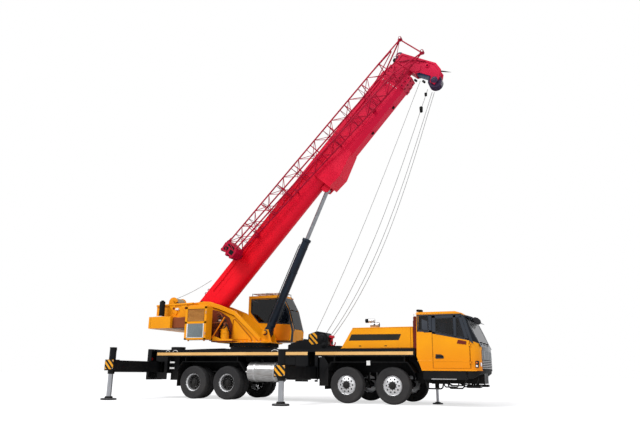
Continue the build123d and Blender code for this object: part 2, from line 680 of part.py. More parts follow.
# sliding door: hooked over the rail's lip
door_y = (room_y[1] + 6, room_y[1] + 40)
slide_door = block(slide_rear, slide_front, *door_y, slide_low, slide_high)
slide_door -= block(slide_rear + 90, slide_front - 90, door_y[0] - 1, door_y[1] + 1, 2750, 3560)
slide_door += block(slide_rear + 60, slide_front - 60, door_y[0] + 4, room_y[1] + 52 - slide_gap, slide_high - 1, 3680 - slide_gap)
save("operator_door", with_slew(slide_door))
save("operator_seat", with_slew(block(-2350, -1850, 640, 1080, 2060, 2480) + prism_y(
    [(-2480, 2460), (-2340, 2460), (-2420, 3150), (-2540, 3150)], 650, 1070)))

# ---- boom ------------------------------------------------------------------------------------------

# the base section's front half: wider, and deeper below
sleeve_start = 7700.0
sleeve_half = 310.0
sleeve_low = -560.0

def raised(shape):
    """Place a shape drawn along the boom: X runs forward from the foot pin, Z is the boom's top."""
    return Location((boom_pivot_x, 0, boom_pivot_z), (0, -boom_angle, 0)) * shape


def boom_bar(s0, s1, width, height):
    """A boom section's outside: flat top and sides, and a round underside."""
    half = width / 2
    flat = height / 2 - half
    with BuildSketch(Plane.YZ) as sketch:
        with BuildLine():
            Polyline((half, -flat), (half, height / 2), (-half, height / 2), (-half, -flat))
            ThreePointArc((-half, -flat), (0, -height / 2), (half, -flat))
        make_face()
    return Pos(s0, 0, boom_rise) * extrude(sketch.sketch, amount=s1 - s0)


def boom_tube(index, s0, s1):
    """Section number index of the telescope; 0 is the base."""
    width = boom_width - section_step * index
    height = boom_height - section_step * index
    tube = boom_bar(s0, s1, width, height)
    return tube - boom_bar(s0 - 1, s1 + 1, width - 2 * boom_wall, height - 2 * boom_wall)


chin_step = 14.0


def collar(index, s0, s1, outer_extra):
    """The wear collar at a section's front, close round the next section."""
    width = boom_width - section_step * index
    height = boom_height - section_step * index
    ring_shape = boom_bar(s0, s1, width + outer_extra, height + outer_extra)
    fit = section_step - 2 * slide_gap
    # a deep chin under the collar carries on the line of the base section's underside
    half = (width + outer_extra) / 2
    ring_shape += block(s0, s1, -half, half, sleeve_low + chin_step * index, -120)
    return ring_shape - boom_bar(s0 - 1, s1 + 1, width - fit, height - fit)


def heel(index, s0, s1):
    """The wear ring round a section's rear, close inside the section outside it."""
    width = boom_width - section_step * (index - 1) - 2 * boom_wall - 2 * slide_gap
    height = boom_height - section_step * (index - 1) - 2 * boom_wall - 2 * slide_gap
    inner_w = boom_width - section_step * index - 2 * boom_wall
    inner_h = boom_height - section_step * index - 2 * boom_wall
    return boom_bar(s0, s1, width, height) - boom_bar(s0 - 1, s1 + 1, inner_w, inner_h)


sleeve_top = 560.0
sleeve_outline = [(sleeve_half, sleeve_top), (sleeve_half, -400), (190, sleeve_low), (-190, sleeve_low),
                  (-sleeve_half, -400), (-sleeve_half, sleeve_top)]
sleeve_face = make_face(Polyline(*[(sleeve_start, y, z) for y, z in sleeve_outline], close=True))
base = boom_bar(-boom_tail, base_tip, boom_width, boom_height)
base += extrude(sleeve_face, amount=base_tip - sleeve_start, dir=(1, 0, 0))
# the lift cylinder's bracket box, tapering forward into the sleeve
box_half = 370.0
bracket = prism_y([(6480, 100), (6500, -745), (7060, -795), (7060, 100)], -box_half, box_half)
taper = loft([
    make_face(Polyline((7060, box_half, 100), (7060, box_half, -795), (7060, -box_half, -795),
                       (7060, -box_half, 100), close=True)),
    make_face(Polyline((8000, sleeve_half, 60), (8000, sleeve_half, sleeve_low + 40),
                       (8000, -sleeve_half, sleeve_low + 40), (8000, -sleeve_half, 60), close=True)),
])
base += bracket
base += taper
for side in (-1, 1):
    y0, y1 = sorted((side * (eye_half + 6), side * (eye_half + 60)))
    base += prism_y([(6220, -560), (6300, -700), (6520, -720), (6520, -420), (6260, -420)], y0, y1)
    y0, y1 = sorted((side * (boom_width / 2 - 1), side * (cheek_inner - 6)))
    base += bar_y(0, y0, y1, 0, 170)
inner_space = boom_bar(-boom_tail - 1, base_tip - 150, boom_width - 2 * boom_wall, boom_height - 2 * boom_wall)
mouth = boom_bar(base_tip - 151, base_tip + 1, boom_width - section_step + 2 * slide_gap,
                 boom_height - section_step + 2 * slide_gap)
base -= inner_space
base -= mouth
# a tube round the foot pin, right across the tail
base += bar_y(0, -cheek_inner + 6, cheek_inner - 6, 0, 130)
base -= bar_y(0, -cheek_inner, cheek_inner, 0, pivot_radius + running_gap)
base += bar_y(eye_s, -eye_half - 60, eye_half + 60, eye_n, eye_pin_radius)
save("boom_base_section", raised(base))

section_start = 320.0
sections = {}
for index in (1, 2, 3, 4):
    start = section_start + 110 * index
    tip = base_tip + tip_step * index
    tube = boom_tube(index, start, tip) + heel(index, start, start + 100)
    if index < 4:
        tube += collar(index, tip - tip_step + 10, tip, 60)
    sections[index] = tube
for index in (1, 2, 3):
    save(f"boom_section_{index + 1}", raised(sections[index]))
save("boom_section_5", raised(sections[4]))

# boom head: two side plates dropping below the boom to the hoist sheaves
head_rear = base_tip + 4 * tip_step
head_top, head_low = 470.0, -500.0
head_outline = [
    (head_rear, head_top), (12060, head_top), (12180, -60), (12390, -900), (12290, -1230), (12020, -1400),
    (11700, -1400), (11700, -1200), (11900, -1080), (11790, -620), (head_rear, head_low),
]
plate_y = (200.0, 230.0)
jib_pin_s, jib_pin_n, jib_pin_radius = 12150.0, -700.0, 35.0
head = block(head_rear, head_rear + 40, -plate_y[1], plate_y[1], head_low, head_top)
for side in (-1, 1):
    head += prism_y(head_outline, *sorted((side * plate_y[0], side * plate_y[1])))
head -= bar_y(jib_pin_s, -plate_y[1] - 1, plate_y[1] + 1, jib_pin_n, jib_pin_radius)
head += block(12130, 12160, -plate_y[0] - 1, plate_y[0] + 1, -300, -60)
head += block(head_rear + 30, 12050, -plate_y[0] - 1, plate_y[0] + 1, head_top - 40, head_top - 15)
sheave_s, sheave_n, sheave_radius = 11840.0, -1290.0, 225.0
guide_s, guide_n, guide_radius = 11980.0, 600.0, 130.0
for side in (-1, 1):
    head += prism_y([(11870, head_top - 50), (11930, 660), (12030, 660), (12050, head_top - 50)], *sorted((side * 60, side * 85)))
save("boom_head", raised(head))
hoist_sheaves = bar_y(sheave_s, -plate_y[0], plate_y[0], sheave_n, 50)
for y in (-135, -45, 45, 135):
    hoist_sheaves += bar_y(sheave_s, y - 28, y + 28, sheave_n, sheave_radius)
guide_sheave = bar_y(guide_s, -60, 60, guide_n, 30) + bar_y(guide_s, -30, 30, guide_n, guide_radius)
save("head_sheaves", raised(hoist_sheaves), raised(guide_sheave))

# ---- stowed lattice jib, on the boom's right side ----------------------------------------------------

jib_start, jib_end = 2450.0, 11100.0
jib_side = -450.0             # its chords next to the boom
chord_radius = 28.0
lace_radius = 16.0


def jib_width(s):
    """The jib's square section tapers towards its tail, at the boom's foot."""
    return 430.0 + (s - 2600.0) * 0.0341


def jib_top(s):
    """The stowed jib leans a little across the boom: its tail is higher."""
    return 774.0 - (s - 3867.0) * 0.0555


def jib_point(s, corner):
    """A chord's place: (0 or 1 from the boom outwards, 0 or 1 from the top downwards)."""
    out, down = corner
    return (s, jib_side - out * jib_width(s), jib_top(s) - down * jib_width(s))


corners = [(0, 0), (1, 0), (1, 1), (0, 1)]
jib = None
for corner in corners:
    chord = rod_between(jib_point(jib_start, corner), jib_point(jib_end, corner), chord_radius)
    jib = chord if jib is None else jib + chord
bays = 9
for bay in range(bays + 1):
    s = jib_start + 60 + (jib_end - jib_start - 120) * bay / bays
    for first, second in zip(corners, corners[1:] + corners[:1]):
        jib += rod_between(jib_point(s, first), jib_point(s, second), lace_radius)
# fork: two legs spreading to the pin lugs beside the boom head
fork_y = -810.0
fork_end = 12330.0
# row: corner height (0 top, 1 bottom), lug height
fork_rows = [(0, 545.0), (1, -515.0)]
for down, lug_n in fork_rows:
    for out in (0, 1):
        tip = (fork_end - 60, fork_y, lug_n)
        jib += rod_between(jib_point(jib_end - 60, (out, down)), tip, 26)
    jib += bar_x(fork_end - 120, fork_end, fork_y, lug_n, 60)
jib += rod_between((fork_end - 60, fork_y, fork_rows[0][1]), (fork_end - 60, fork_y, fork_rows[1][1]), 24)
# tail frame: a plate box that carries the tail's rollers
tail_y = (jib_side - 470, jib_side + 20)
tail_outline = [(2180, 300), (2140, 900), (2420, 940), (2560, 860), (2560, 380), (2420, 300)]
jib += prism_y(tail_outline, *tail_y) - prism_y([(2100, 380), (2100, 830), (2500, 830), (2500, 380)],
                                               tail_y[0] + 60, tail_y[1] - 60)
for n in (380, 600, 880):
    jib += bar_y(2150, tail_y[0] + 1, tail_y[1] - 1, n, 50)
# brackets that carry it on the boom's side
for s, side_face in ((3350.0, boom_width / 2), (9700.0, sleeve_half)):
    low = jib_top(s) - jib_width(s)
    jib += block(s - 60, s + 60, jib_side - 10, -side_face, low - 40, low + 60)
save("jib_lattice", raised(jib))

# ---- lift cylinder --------------------------------------------------------------------------------------

eye = raised(Pos(eye_s, 0, eye_n) * Sphere(1)).center()
reach = math.hypot(eye.X - cylinder_base_x, eye.Z - cylinder_base_z)
lean = math.degrees(math.atan2(eye.Z - cylinder_base_z, eye.X - cylinder_base_x))


def along_cylinder(shape):
    """Place a shape drawn along the cylinder: X runs from its foot to the rod's eye."""
    return Location((cylinder_base_x, 0, cylinder_base_z), (0, -lean, 0)) * shape


barrel_bottom = 150.0
bore_radius = rod_radius + 22
rod_tail = 2150.0             # the rod's piston, well inside the barrel
barrel = bar_x(barrel_bottom - 60, barrel_length, 0, 0, barrel_radius)
barrel += bar_y(0, -150, 150, 0, 140)
barrel += block(0, barrel_bottom + 20, -130, 130, -120, 120)
barrel -= bar_x(barrel_bottom, barrel_length - 120, 0, 0, bore_radius)
barrel -= bar_x(barrel_length - 130, barrel_length + 1, 0, 0, rod_radius + running_gap)
save("lift_cylinder_barrel", along_cylinder(barrel))
rod = bar_x(rod_tail, reach - 60, 0, 0, rod_radius)
rod += bar_x(rod_tail, rod_tail + 120, 0, 0, bore_radius - running_gap)
rod += bar_y(reach, -eye_half, eye_half, 0, eye_radius)
rod -= bar_y(reach, -eye_half - 1, eye_half + 1, 0, eye_pin_radius + running_gap)
save("lift_cylinder_rod", along_cylinder(rod))
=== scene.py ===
import bpy
import bmesh
import math
import numpy as np
from mathutils import Matrix, Vector


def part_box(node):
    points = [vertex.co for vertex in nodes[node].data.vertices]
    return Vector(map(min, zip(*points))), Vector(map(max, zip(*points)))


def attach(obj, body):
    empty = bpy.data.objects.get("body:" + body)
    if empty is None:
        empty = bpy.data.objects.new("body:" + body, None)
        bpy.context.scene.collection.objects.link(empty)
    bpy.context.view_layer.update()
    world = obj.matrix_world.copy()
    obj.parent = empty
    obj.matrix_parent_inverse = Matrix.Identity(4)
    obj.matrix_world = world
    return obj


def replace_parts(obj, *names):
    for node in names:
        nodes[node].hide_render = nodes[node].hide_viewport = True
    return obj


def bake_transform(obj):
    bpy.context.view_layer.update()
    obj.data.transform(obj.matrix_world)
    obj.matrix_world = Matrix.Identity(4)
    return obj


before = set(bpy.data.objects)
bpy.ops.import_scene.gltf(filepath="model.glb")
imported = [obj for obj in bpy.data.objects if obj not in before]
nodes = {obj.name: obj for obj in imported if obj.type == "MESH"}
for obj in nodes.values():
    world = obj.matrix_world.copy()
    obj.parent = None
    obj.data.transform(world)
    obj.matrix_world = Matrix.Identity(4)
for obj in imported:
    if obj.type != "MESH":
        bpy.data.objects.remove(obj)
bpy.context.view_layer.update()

# ---- camera, light and floor ---------------------------------------------------------------------
# The crane stands in the open on a pale floor. The camera is low, off its right front corner,
# looking slightly up at the raised boom.
azimuth, tilt, roll = math.radians(23.297), math.radians(15.065), math.radians(0.571)
sensor_width, view_width, focal_length, view_rise = 36.0, 640, 579.57, 3.16
right = Vector((math.cos(azimuth), math.sin(azimuth), 0))
ahead = Vector((-math.sin(azimuth) * math.cos(tilt), math.cos(azimuth) * math.cos(tilt), math.sin(tilt)))
above = right.cross(ahead)
across = math.cos(roll) * right + math.sin(roll) * above
upward = math.cos(roll) * above - math.sin(roll) * right
optics = bpy.data.cameras.new("camera")
optics.sensor_width = sensor_width
optics.lens = focal_length / view_width * sensor_width
optics.shift_y = view_rise / view_width
optics.clip_end = 400
camera = bpy.data.objects.new("camera", optics)
camera.matrix_world = Matrix((
    (across.x, upward.x, -ahead.x, 8.598),
    (across.y, upward.y, -ahead.y, -19.081),
    (across.z, upward.z, -ahead.z, 0.925),
    (0, 0, 0, 1),
))
bpy.context.scene.collection.objects.link(camera)
bpy.context.scene.camera = camera
bpy.context.scene.view_settings.view_transform = "Standard"


def set_inputs(tree, node, inputs):
    """Each input of a shader node is linked to a socket or set to a value."""
    for slot, value in inputs.items():
        if isinstance(value, bpy.types.NodeSocket):
            tree.links.new(value, node.inputs[slot])
        else:
            node.inputs[slot].default_value = value


def shader_node(tree, kind, inputs=None, **settings):
    """A new shader node, with its settings first and then its inputs."""
    node = tree.nodes.new("ShaderNode" + kind)
    for name, value in settings.items():
        setattr(node, name, value)
    set_inputs(tree, node, inputs or {})
    return node


world = bpy.data.worlds.new("studio")
bpy.context.scene.world = world
world.use_nodes = True
tree = world.node_tree
tree.nodes.clear()
seen = shader_node(tree, "Background", {"Color": (1, 1, 1, 1)})
glow = shader_node(tree, "Background", {"Color": (0.97, 0.98, 1.0, 1), "Strength": 0.72})
path = shader_node(tree, "LightPath")
pick = shader_node(tree, "MixShader",
                   {0: path.outputs["Is Camera Ray"], 1: glow.outputs[0], 2: seen.outputs[0]})
shader_node(tree, "OutputWorld", {0: pick.outputs[0]})


def sun(name, place, power, spread):
    """A sun that shines from a place towards the crane's middle; its spread softens the shadows."""
    data = bpy.data.lights.new(name, "SUN")
    data.energy = power
    data.angle = math.radians(spread)
    item = bpy.data.objects.new(name, data)
    item.location = place
    item.rotation_euler = (Vector((0, 0, 2)) - Vector(place)).to_track_quat("-Z", "Y").to_euler()
    bpy.context.scene.collection.objects.link(item)


sun("key", (-9, -15, 22), 2.1, 25)
sun("side", (20, -9, 16), 0.6, 40)

floor_mesh = bpy.data.meshes.new("floor")
floor_mesh.from_pydata([(-150, -150, 0), (150, -150, 0), (150, 150, 0), (-150, 150, 0)], [], [(0, 1, 2, 3)])
floor = bpy.data.objects.new("floor", floor_mesh)
bpy.context.scene.collection.objects.link(floor)
ground = bpy.data.materials.new("pale_floor")
ground.use_nodes = True
tree = ground.node_tree
tree.nodes.clear()
matt = shader_node(tree, "BsdfDiffuse", {"Color": (0.40, 0.40, 0.41, 1)})
lift = shader_node(tree, "Emission", {"Strength": 0.66})
both = shader_node(tree, "AddShader", {0: matt.outputs[0], 1: lift.outputs[0]})
plain = shader_node(tree, "BsdfDiffuse", {"Color": (0.6, 0.6, 0.6, 1)})
path = shader_node(tree, "LightPath")
pick = shader_node(tree, "MixShader",
                   {0: path.outputs["Is Camera Ray"], 1: plain.outputs[0], 2: both.outputs[0]})
shader_node(tree, "OutputMaterial", {0: pick.outputs[0]})
floor_mesh.materials.append(ground)


# ---- chassis, deck and outrigger housings --------------------------------------------------------
# The carrier's frame is a welded box girder of plate, with cross webs, a deck plate and two
# outrigger housings. It is painted satin black, and road dust gathers on its lower parts.
def painted(name, colour, worn, rough, coat=0.0, dust=0.0, dust_top=1.0, peel=0.008):
    """Paint over steel: two tones drifting by slow noise, streaks down the sides, dust that fades
    upwards to nothing at dust_top, roughness varied by a second noise, and a fine orange-peel bump."""
    material = bpy.data.materials.new(name)
    material.use_nodes = True
    tree = material.node_tree
    place = shader_node(tree, "TexCoord").outputs["Object"]

    def noise(scale, detail, stretch=(1, 1, 1)):
        """A noise field over the piece, drawn out where the stretch is small."""
        turn = shader_node(tree, "Mapping", {0: place, "Scale": stretch})
        field = shader_node(tree, "TexNoise", {"Vector": turn.outputs[0], "Scale": scale, "Detail": detail})
        return field.outputs["Fac"]

    def spread(source, low, high, start=0.35, end=0.65):
        """A source's range from start to end, laid evenly on the range from low to high."""
        limits = {"Value": source, "From Min": start, "From Max": end, "To Min": low, "To Max": high}
        return shader_node(tree, "MapRange", limits).outputs[0]

    def mixed(amount, first, second):
        """The first colour turning into the second by an amount from 0 to 1."""
        mix = {"Factor": amount, "A": first, "B": second}
        return shader_node(tree, "Mix", mix, data_type="RGBA").outputs["Result"]

    tone = mixed(spread(noise(1.3, 4), 0, 1), (*colour, 1), (*worn, 1))
    tone = mixed(spread(noise(9, 3, (1, 1, 0.12)), 0, 0.35, 0.5, 0.75), tone, (*worn, 1))
    height = shader_node(tree, "SeparateXYZ", {0: place}).outputs["Z"]
    low = spread(height, dust, 0.0, 0.3, dust_top)
    patchy = shader_node(tree, "Math", {0: low, 1: spread(noise(5, 5), 0.3, 1)}, operation="MULTIPLY")
    tone = mixed(patchy.outputs[0], tone, (0.30, 0.26, 0.21, 1))
    bump = shader_node(tree, "Bump", {"Strength": peel, "Distance": 0.002, "Height": noise(90, 2)})
    set_inputs(tree, tree.nodes["Principled BSDF"], {
        "Base Color": tone, "Roughness": spread(noise(4, 5), rough - 0.06, rough + 0.12), "Coat Weight": coat,
        "Coat Roughness": 0.12, "Specular IOR Level": 0.14, "Normal": bump.outputs[0]})
    return material


def lens(name, colour, rough=0.12):
    """A lamp's plastic: its colour deepens in fine moulded ribs."""
    material = painted(name, colour, tuple(0.7 * c for c in colour), rough, coat=0.6)
    tree = material.node_tree
    place = shader_node(tree, "TexCoord").outputs["Object"]
    ribs = shader_node(tree, "TexWave", {"Scale": 20, "Vector": place})
    set_inputs(tree, tree.nodes["Bump"], {"Strength": 0.3, "Height": ribs.outputs["Fac"]})
    return material


def refinish(material, *names):
    """Gives carried-over nodes a better material in their own slots."""
    for name in names:
        for place in nodes[name].material_slots:
            place.material = material


def grid_faces(rows, columns, closed_rows=False, closed_columns=True):
    """Quads of a grid of points numbered row by row; a closed direction joins its last line to its first."""
    r = np.arange(rows if closed_rows else rows - 1)[:, None]
    c = np.arange(columns if closed_columns else columns - 1)[None, :]
    r1, c1 = (r + 1) % rows, (c + 1) % columns
    quads = [r * columns + c, r * columns + c1, r1 * columns + c1, r1 * columns + c]
    return np.stack(quads, axis=-1).reshape(-1, 4).tolist()


def slab(outline, start, end, plane="xz", bevel=0.004):
    """A plate: its outline as four rings across its thickness. The two outer rings are drawn in by
    the bevel, along the mitre of the edges that meet at each corner; each end is capped flat."""
    edge = np.array(outline, float)
    ahead = np.roll(edge, -1, axis=0) - edge
    ahead /= np.linalg.norm(ahead, axis=1)[:, None]
    behind = np.roll(ahead, 1, axis=0)
    turn = np.sign(np.sum(edge[:, 0] * np.roll(edge[:, 1], -1) - np.roll(edge[:, 0], -1) * edge[:, 1]))
    mitre = turn * np.stack([ahead[:, 1] + behind[:, 1], -ahead[:, 0] - behind[:, 0]], axis=1)
    mitre /= np.maximum(1 + np.sum(ahead * behind, axis=1), 0.3)[:, None]
    small = edge - mitre * bevel
    depth = np.repeat([start, start + bevel, end - bevel, end], len(edge))
    flat = np.concatenate([small, edge, edge, small])
    order = {"xz": (0, 2, 1), "xy": (0, 1, 2)}[plane]
    points = np.column_stack([flat, depth])[:, order]
    count = len(edge)
    caps = [list(range(count)), list(range(3 * count, 4 * count))]
    return points, grid_faces(4, count) + caps


def box(x0, x1, y0, y1, z0, z1, bevel=0.006):
    """A plate of rectangular outline, seen from above."""
    return slab(rectangle(x0, x1, y0, y1), z0, z1, "xy", bevel)


def rectangle(u0, u1, v0, v1):
    """The corners of a rectangle, in order."""
    return [(u0, v0), (u1, v0), (u1, v1), (u0, v1)]


def side_slab(outline, side, near, far, bevel=0.004):
    """An upright plate on one side of the crane, between two distances from the middle plane."""
    return slab(outline, *sorted((side * near, side * far)), bevel=bevel)


def side_box(x0, x1, side, near, far, z0, z1, bevel=0.006):
    """A box on one side of the crane, between two distances from the middle plane."""
    return box(x0, x1, *sorted((side * near, side * far)), z0, z1, bevel)


def tube(path, radius, sides=8):
    """A round bar along a path: about each path point a ring square to the mean direction there,
    its radius given once or for each point, and a cap at each end."""
    line = np.array(path, float)
    along = np.gradient(line, axis=0)
    along /= np.linalg.norm(along, axis=1)[:, None]
    least = np.eye(3)[np.argmin(np.max(np.abs(along), axis=0))]
    first = np.cross(along, least)
    first /= np.linalg.norm(first, axis=1)[:, None]
    second = np.cross(along, first)
    turn = np.arange(sides) * 2 * np.pi / sides
    size = np.broadcast_to(np.asarray(radius, float), (len(line),))[:, None, None]
    ring = np.cos(turn)[None, :, None] * first[:, None, :] + np.sin(turn)[None, :, None] * second[:, None, :]
    points = (line[:, None, :] + size * ring).reshape(-1, 3)
    last = (len(line) - 1) * sides
    return points, grid_faces(len(line), sides) + [list(range(sides)), list(range(last, last + sides))]


def side_tube(run, y, radius, sides=8):
    """A round bar along (x, z) points in one upright plane along the crane."""
    return tube([(x, y, z) for x, z in run], radius, sides)


def lathe(profile, centre, axis="y", steps=48, out=1, caps=True):
    """A turned shape: (distance outwards, radius) points swept round an axis, with or without flat
    ends; a ring that has none is closed by joining its last circle to its first."""
    line = np.array(profile, float)
    turn = np.arange(steps) * 2 * np.pi / steps
    flat = np.stack([line[:, 1, None] * np.cos(turn), line[:, 1, None] * np.sin(turn),
                     np.broadcast_to(out * line[:, :1], (len(line), steps))], axis=-1).reshape(-1, 3)
    order = {"x": (2, 0, 1), "y": (0, 2, 1), "z": (0, 1, 2)}[axis]
    last = (len(line) - 1) * steps
    faces = grid_faces(len(line), steps, not caps)
    if caps:
        faces += [list(range(steps)), list(range(last, last + steps))]
    return flat[:, order] + np.array(centre, float), faces


def repeat(shape, offsets):
    """Copies of a shape moved by each offset."""
    points, faces = shape
    moves = np.array(offsets, float)
    every = (moves[:, None, :] + points[None, :, :]).reshape(-1, 3)
    return every, [[i + k * len(points) for i in face] for k in range(len(moves)) for face in faces]


def coated(finish, *made):
    """Shapes paired with one finish."""
    return [(shape, finish) for shape in made]


def piece(name, body, *shapes):
    """One mesh from (shape, material) pairs: faces turned outwards, edges over 35 degrees kept sharp."""
    mesh = bpy.data.meshes.new(name)
    finishes = []
    points, faces, numbers, start = [], [], [], 0
    for (some_points, some_faces), material in shapes:
        if material not in finishes:
            finishes.append(material)
            mesh.materials.append(material)
        points.append(some_points)
        faces += [[i + start for i in face] for face in some_faces]
        numbers += [finishes.index(material)] * len(some_faces)
        start += len(some_points)
    mesh.from_pydata(np.concatenate(points).tolist(), [], faces)
    mesh.polygons.foreach_set("material_index", numbers)
    solid = bmesh.new()
    solid.from_mesh(mesh)
    bmesh.ops.recalc_face_normals(solid, faces=solid.faces)
    solid.to_mesh(mesh)
    solid.free()
    mesh.polygons.foreach_set("use_smooth", [True] * len(mesh.polygons))
    mesh.set_sharp_from_angle(angle=math.radians(35))
    item = bpy.data.objects.new(name, mesh)
    bpy.context.scene.collection.objects.link(item)
    if body:
        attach(item, body)
    return item


frame_black = painted("frame_black_paint", (0.003, 0.0034, 0.0045), (0.0065, 0.0065, 0.0072), 0.42,
                      dust=0.05, dust_top=1.1)
refinish(frame_black, "chassis_frame", "deck", "rear_outrigger_housing", "front_outrigger_housing",
         "front_axles", "rear_axles", "tool_locker", "slewing_ring", "cab_sills",
         *[n for n in nodes if n.startswith(("knuckle", "outrigger_beam"))])
cream = painted("stripe_cream_paint", (0.83, 0.50, 0.19), (0.74, 0.42, 0.14), 0.35, 0.1, 0.1, 2.0)
white = painted("marker_white_paint", (0.80, 0.80, 0.79), (0.62, 0.62, 0.61), 0.35, 0.1, 0.1, 2.0)
amber = lens("amber_lens", (0.85, 0.17, 0.01))
lamp_red = lens("red_lens", (0.45, 0.01, 0.01))

# stripe along the valance, in runs between the pockets of the jacks
deck_half = 1.375            # half the deck's width
film = 0.004                 # how far a stripe stands out
stripe_low, stripe_high = 1.477, 1.576
notch = 0.14                 # half the stripe's gap at a jack
jack_x = {}
for name in ("rear_right", "rear_left", "front_right", "front_left"):
    low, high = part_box("outrigger_leg_" + name)
    jack_x[name] = (low[0] + high[0]) / 2
shapes = []
for side, hand in ((-1, "right"), (1, "left")):
    rear, front = jack_x["rear_" + hand], jack_x["front_" + hand]
    for x0, x1 in ((rear + notch, front - notch), (front + notch, 4.09)):
        stripe = rectangle(x0, x1, stripe_low, stripe_high)
        shapes += coated(cream, side_slab(stripe, side, deck_half - 0.001, deck_half + film, 0.001))
        # a rolled lip below and above it
        for z in (stripe_low - 0.035, stripe_high + 0.03):
            shapes += coated(frame_black, side_tube([(x0, z), (x1, z)], side * deck_half, 0.006))
piece("deck_stripe", "carrier", *shapes)

# deck plate treads, tail lamps and reflector strips
shapes = []
for side in (-1, 1):
    treads = [(x, side * 0.95, 1.678) for x in np.arange(-1.0, 1.9, 0.16) if not (0.1 < x < 0.9 and side > 0)]
    shapes += coated(frame_black, repeat(box(-0.012, 0.012, -0.28, 0.28, -0.004, 0.004, 0.002), treads))
for side in (-1, 1):
    for z, finish in ((1.36, lamp_red), (1.22, amber), (1.08, white)):
        tail_lamp = [(0, 0.055), (0.02, 0.055), (0.032, 0.045), (0.036, 0.002)]
        shapes += coated(finish, lathe(tail_lamp, (-5.83, side * 1.18, z), "x", 24, -1))
    for z in (1.005, 1.205):
        strip = rectangle(-4.86, -4.66, z, z + 0.055)
        shapes += coated(white, side_slab(strip, side, deck_half - 0.001, deck_half + film, 0.001))
piece("deck_fittings", "carrier", *shapes)


# ---- outrigger feet and end plates ---------------------------------------------------------------
# A turned steel pad sits under each jack's leg. Each jack's barrel carries a plate striped yellow
# and black across the corner, a bolted cap and a hydraulic hose that loops to the beam.
def metal(name, colour, worn, rough, brushed=(1, 1, 1), scale=60):
    """Bare metal: tone and roughness drift by a noise that brushing stretches along one axis."""
    material = bpy.data.materials.new(name)
    material.use_nodes = True
    tree = material.node_tree
    place = shader_node(tree, "TexCoord").outputs["Object"]
    turn = shader_node(tree, "Mapping", {0: place, "Scale": brushed})
    grain = shader_node(tree, "TexNoise", {"Vector": turn.outputs[0], "Scale": scale, "Detail": 4})
    ramp = shader_node(tree, "ValToRGB", {0: grain.outputs["Fac"]})
    for stop, position, tone in zip(ramp.color_ramp.elements, (0.3, 0.7), (worn, colour)):
        stop.position = position
        stop.color = (*tone, 1)
    stretch = {"Value": grain.outputs["Fac"], "To Min": rough - 0.08, "To Max": rough + 0.12}
    bump = shader_node(tree, "Bump", {"Strength": 0.05, "Distance": 0.002, "Height": grain.outputs["Fac"]})
    set_inputs(tree, tree.nodes["Principled BSDF"], {
        "Metallic": 0.85, "Base Color": ramp.outputs[0], "Normal": bump.outputs[0],
        "Roughness": shader_node(tree, "MapRange", stretch).outputs[0]})
    return material


def laid_over(tree, amount, colour):
    """A second colour over a paint's own, by an amount from 0 to 1."""
    shader = tree.nodes["Principled BSDF"]
    under = shader.inputs["Base Color"].links[0].from_socket
    mix = shader_node(tree, "Mix", {"Factor": amount, "A": under, "B": (*colour, 1)}, data_type="RGBA")
    set_inputs(tree, shader, {"Base Color": mix.outputs["Result"]})


# the stripes' slant and width come from one sum of x and z, cut into whole turns, half of each black
hazard = painted("hazard_stripes", (0.80, 0.36, 0.02), (0.72, 0.31, 0.015), 0.4, 0.1)
tree = hazard.node_tree
place = shader_node(tree, "TexCoord").outputs["Object"]
slant = shader_node(tree, "VectorMath", {0: place, 1: (5.2, 0.0, 5.2)}, operation="DOT_PRODUCT")
turns = shader_node(tree, "Math", {0: slant.outputs["Value"]}, operation="FRACT")
black_half = shader_node(tree, "Math", {0: turns.outputs[0], 1: 0.5}, operation="GREATER_THAN")
laid_over(tree, black_half.outputs[0], (0.012, 0.012, 0.012))

bare_steel = metal("bare_steel", (0.62, 0.62, 0.63), (0.42, 0.41, 0.40), 0.38, scale=12)
leg_steel = metal("leg_steel", (0.50, 0.51, 0.54), (0.38, 0.39, 0.41), 0.3, (1, 1, 0.1), 20)
rubber = painted("hose_rubber", (0.010, 0.010, 0.011), (0.018, 0.018, 0.018), 0.55, dust=0.05, peel=0.1)
refinish(leg_steel, "front_jack_leg", *[n for n in nodes if n.startswith("outrigger_leg")])
jack_y = 3.5                 # the outrigger jacks' distance from the middle
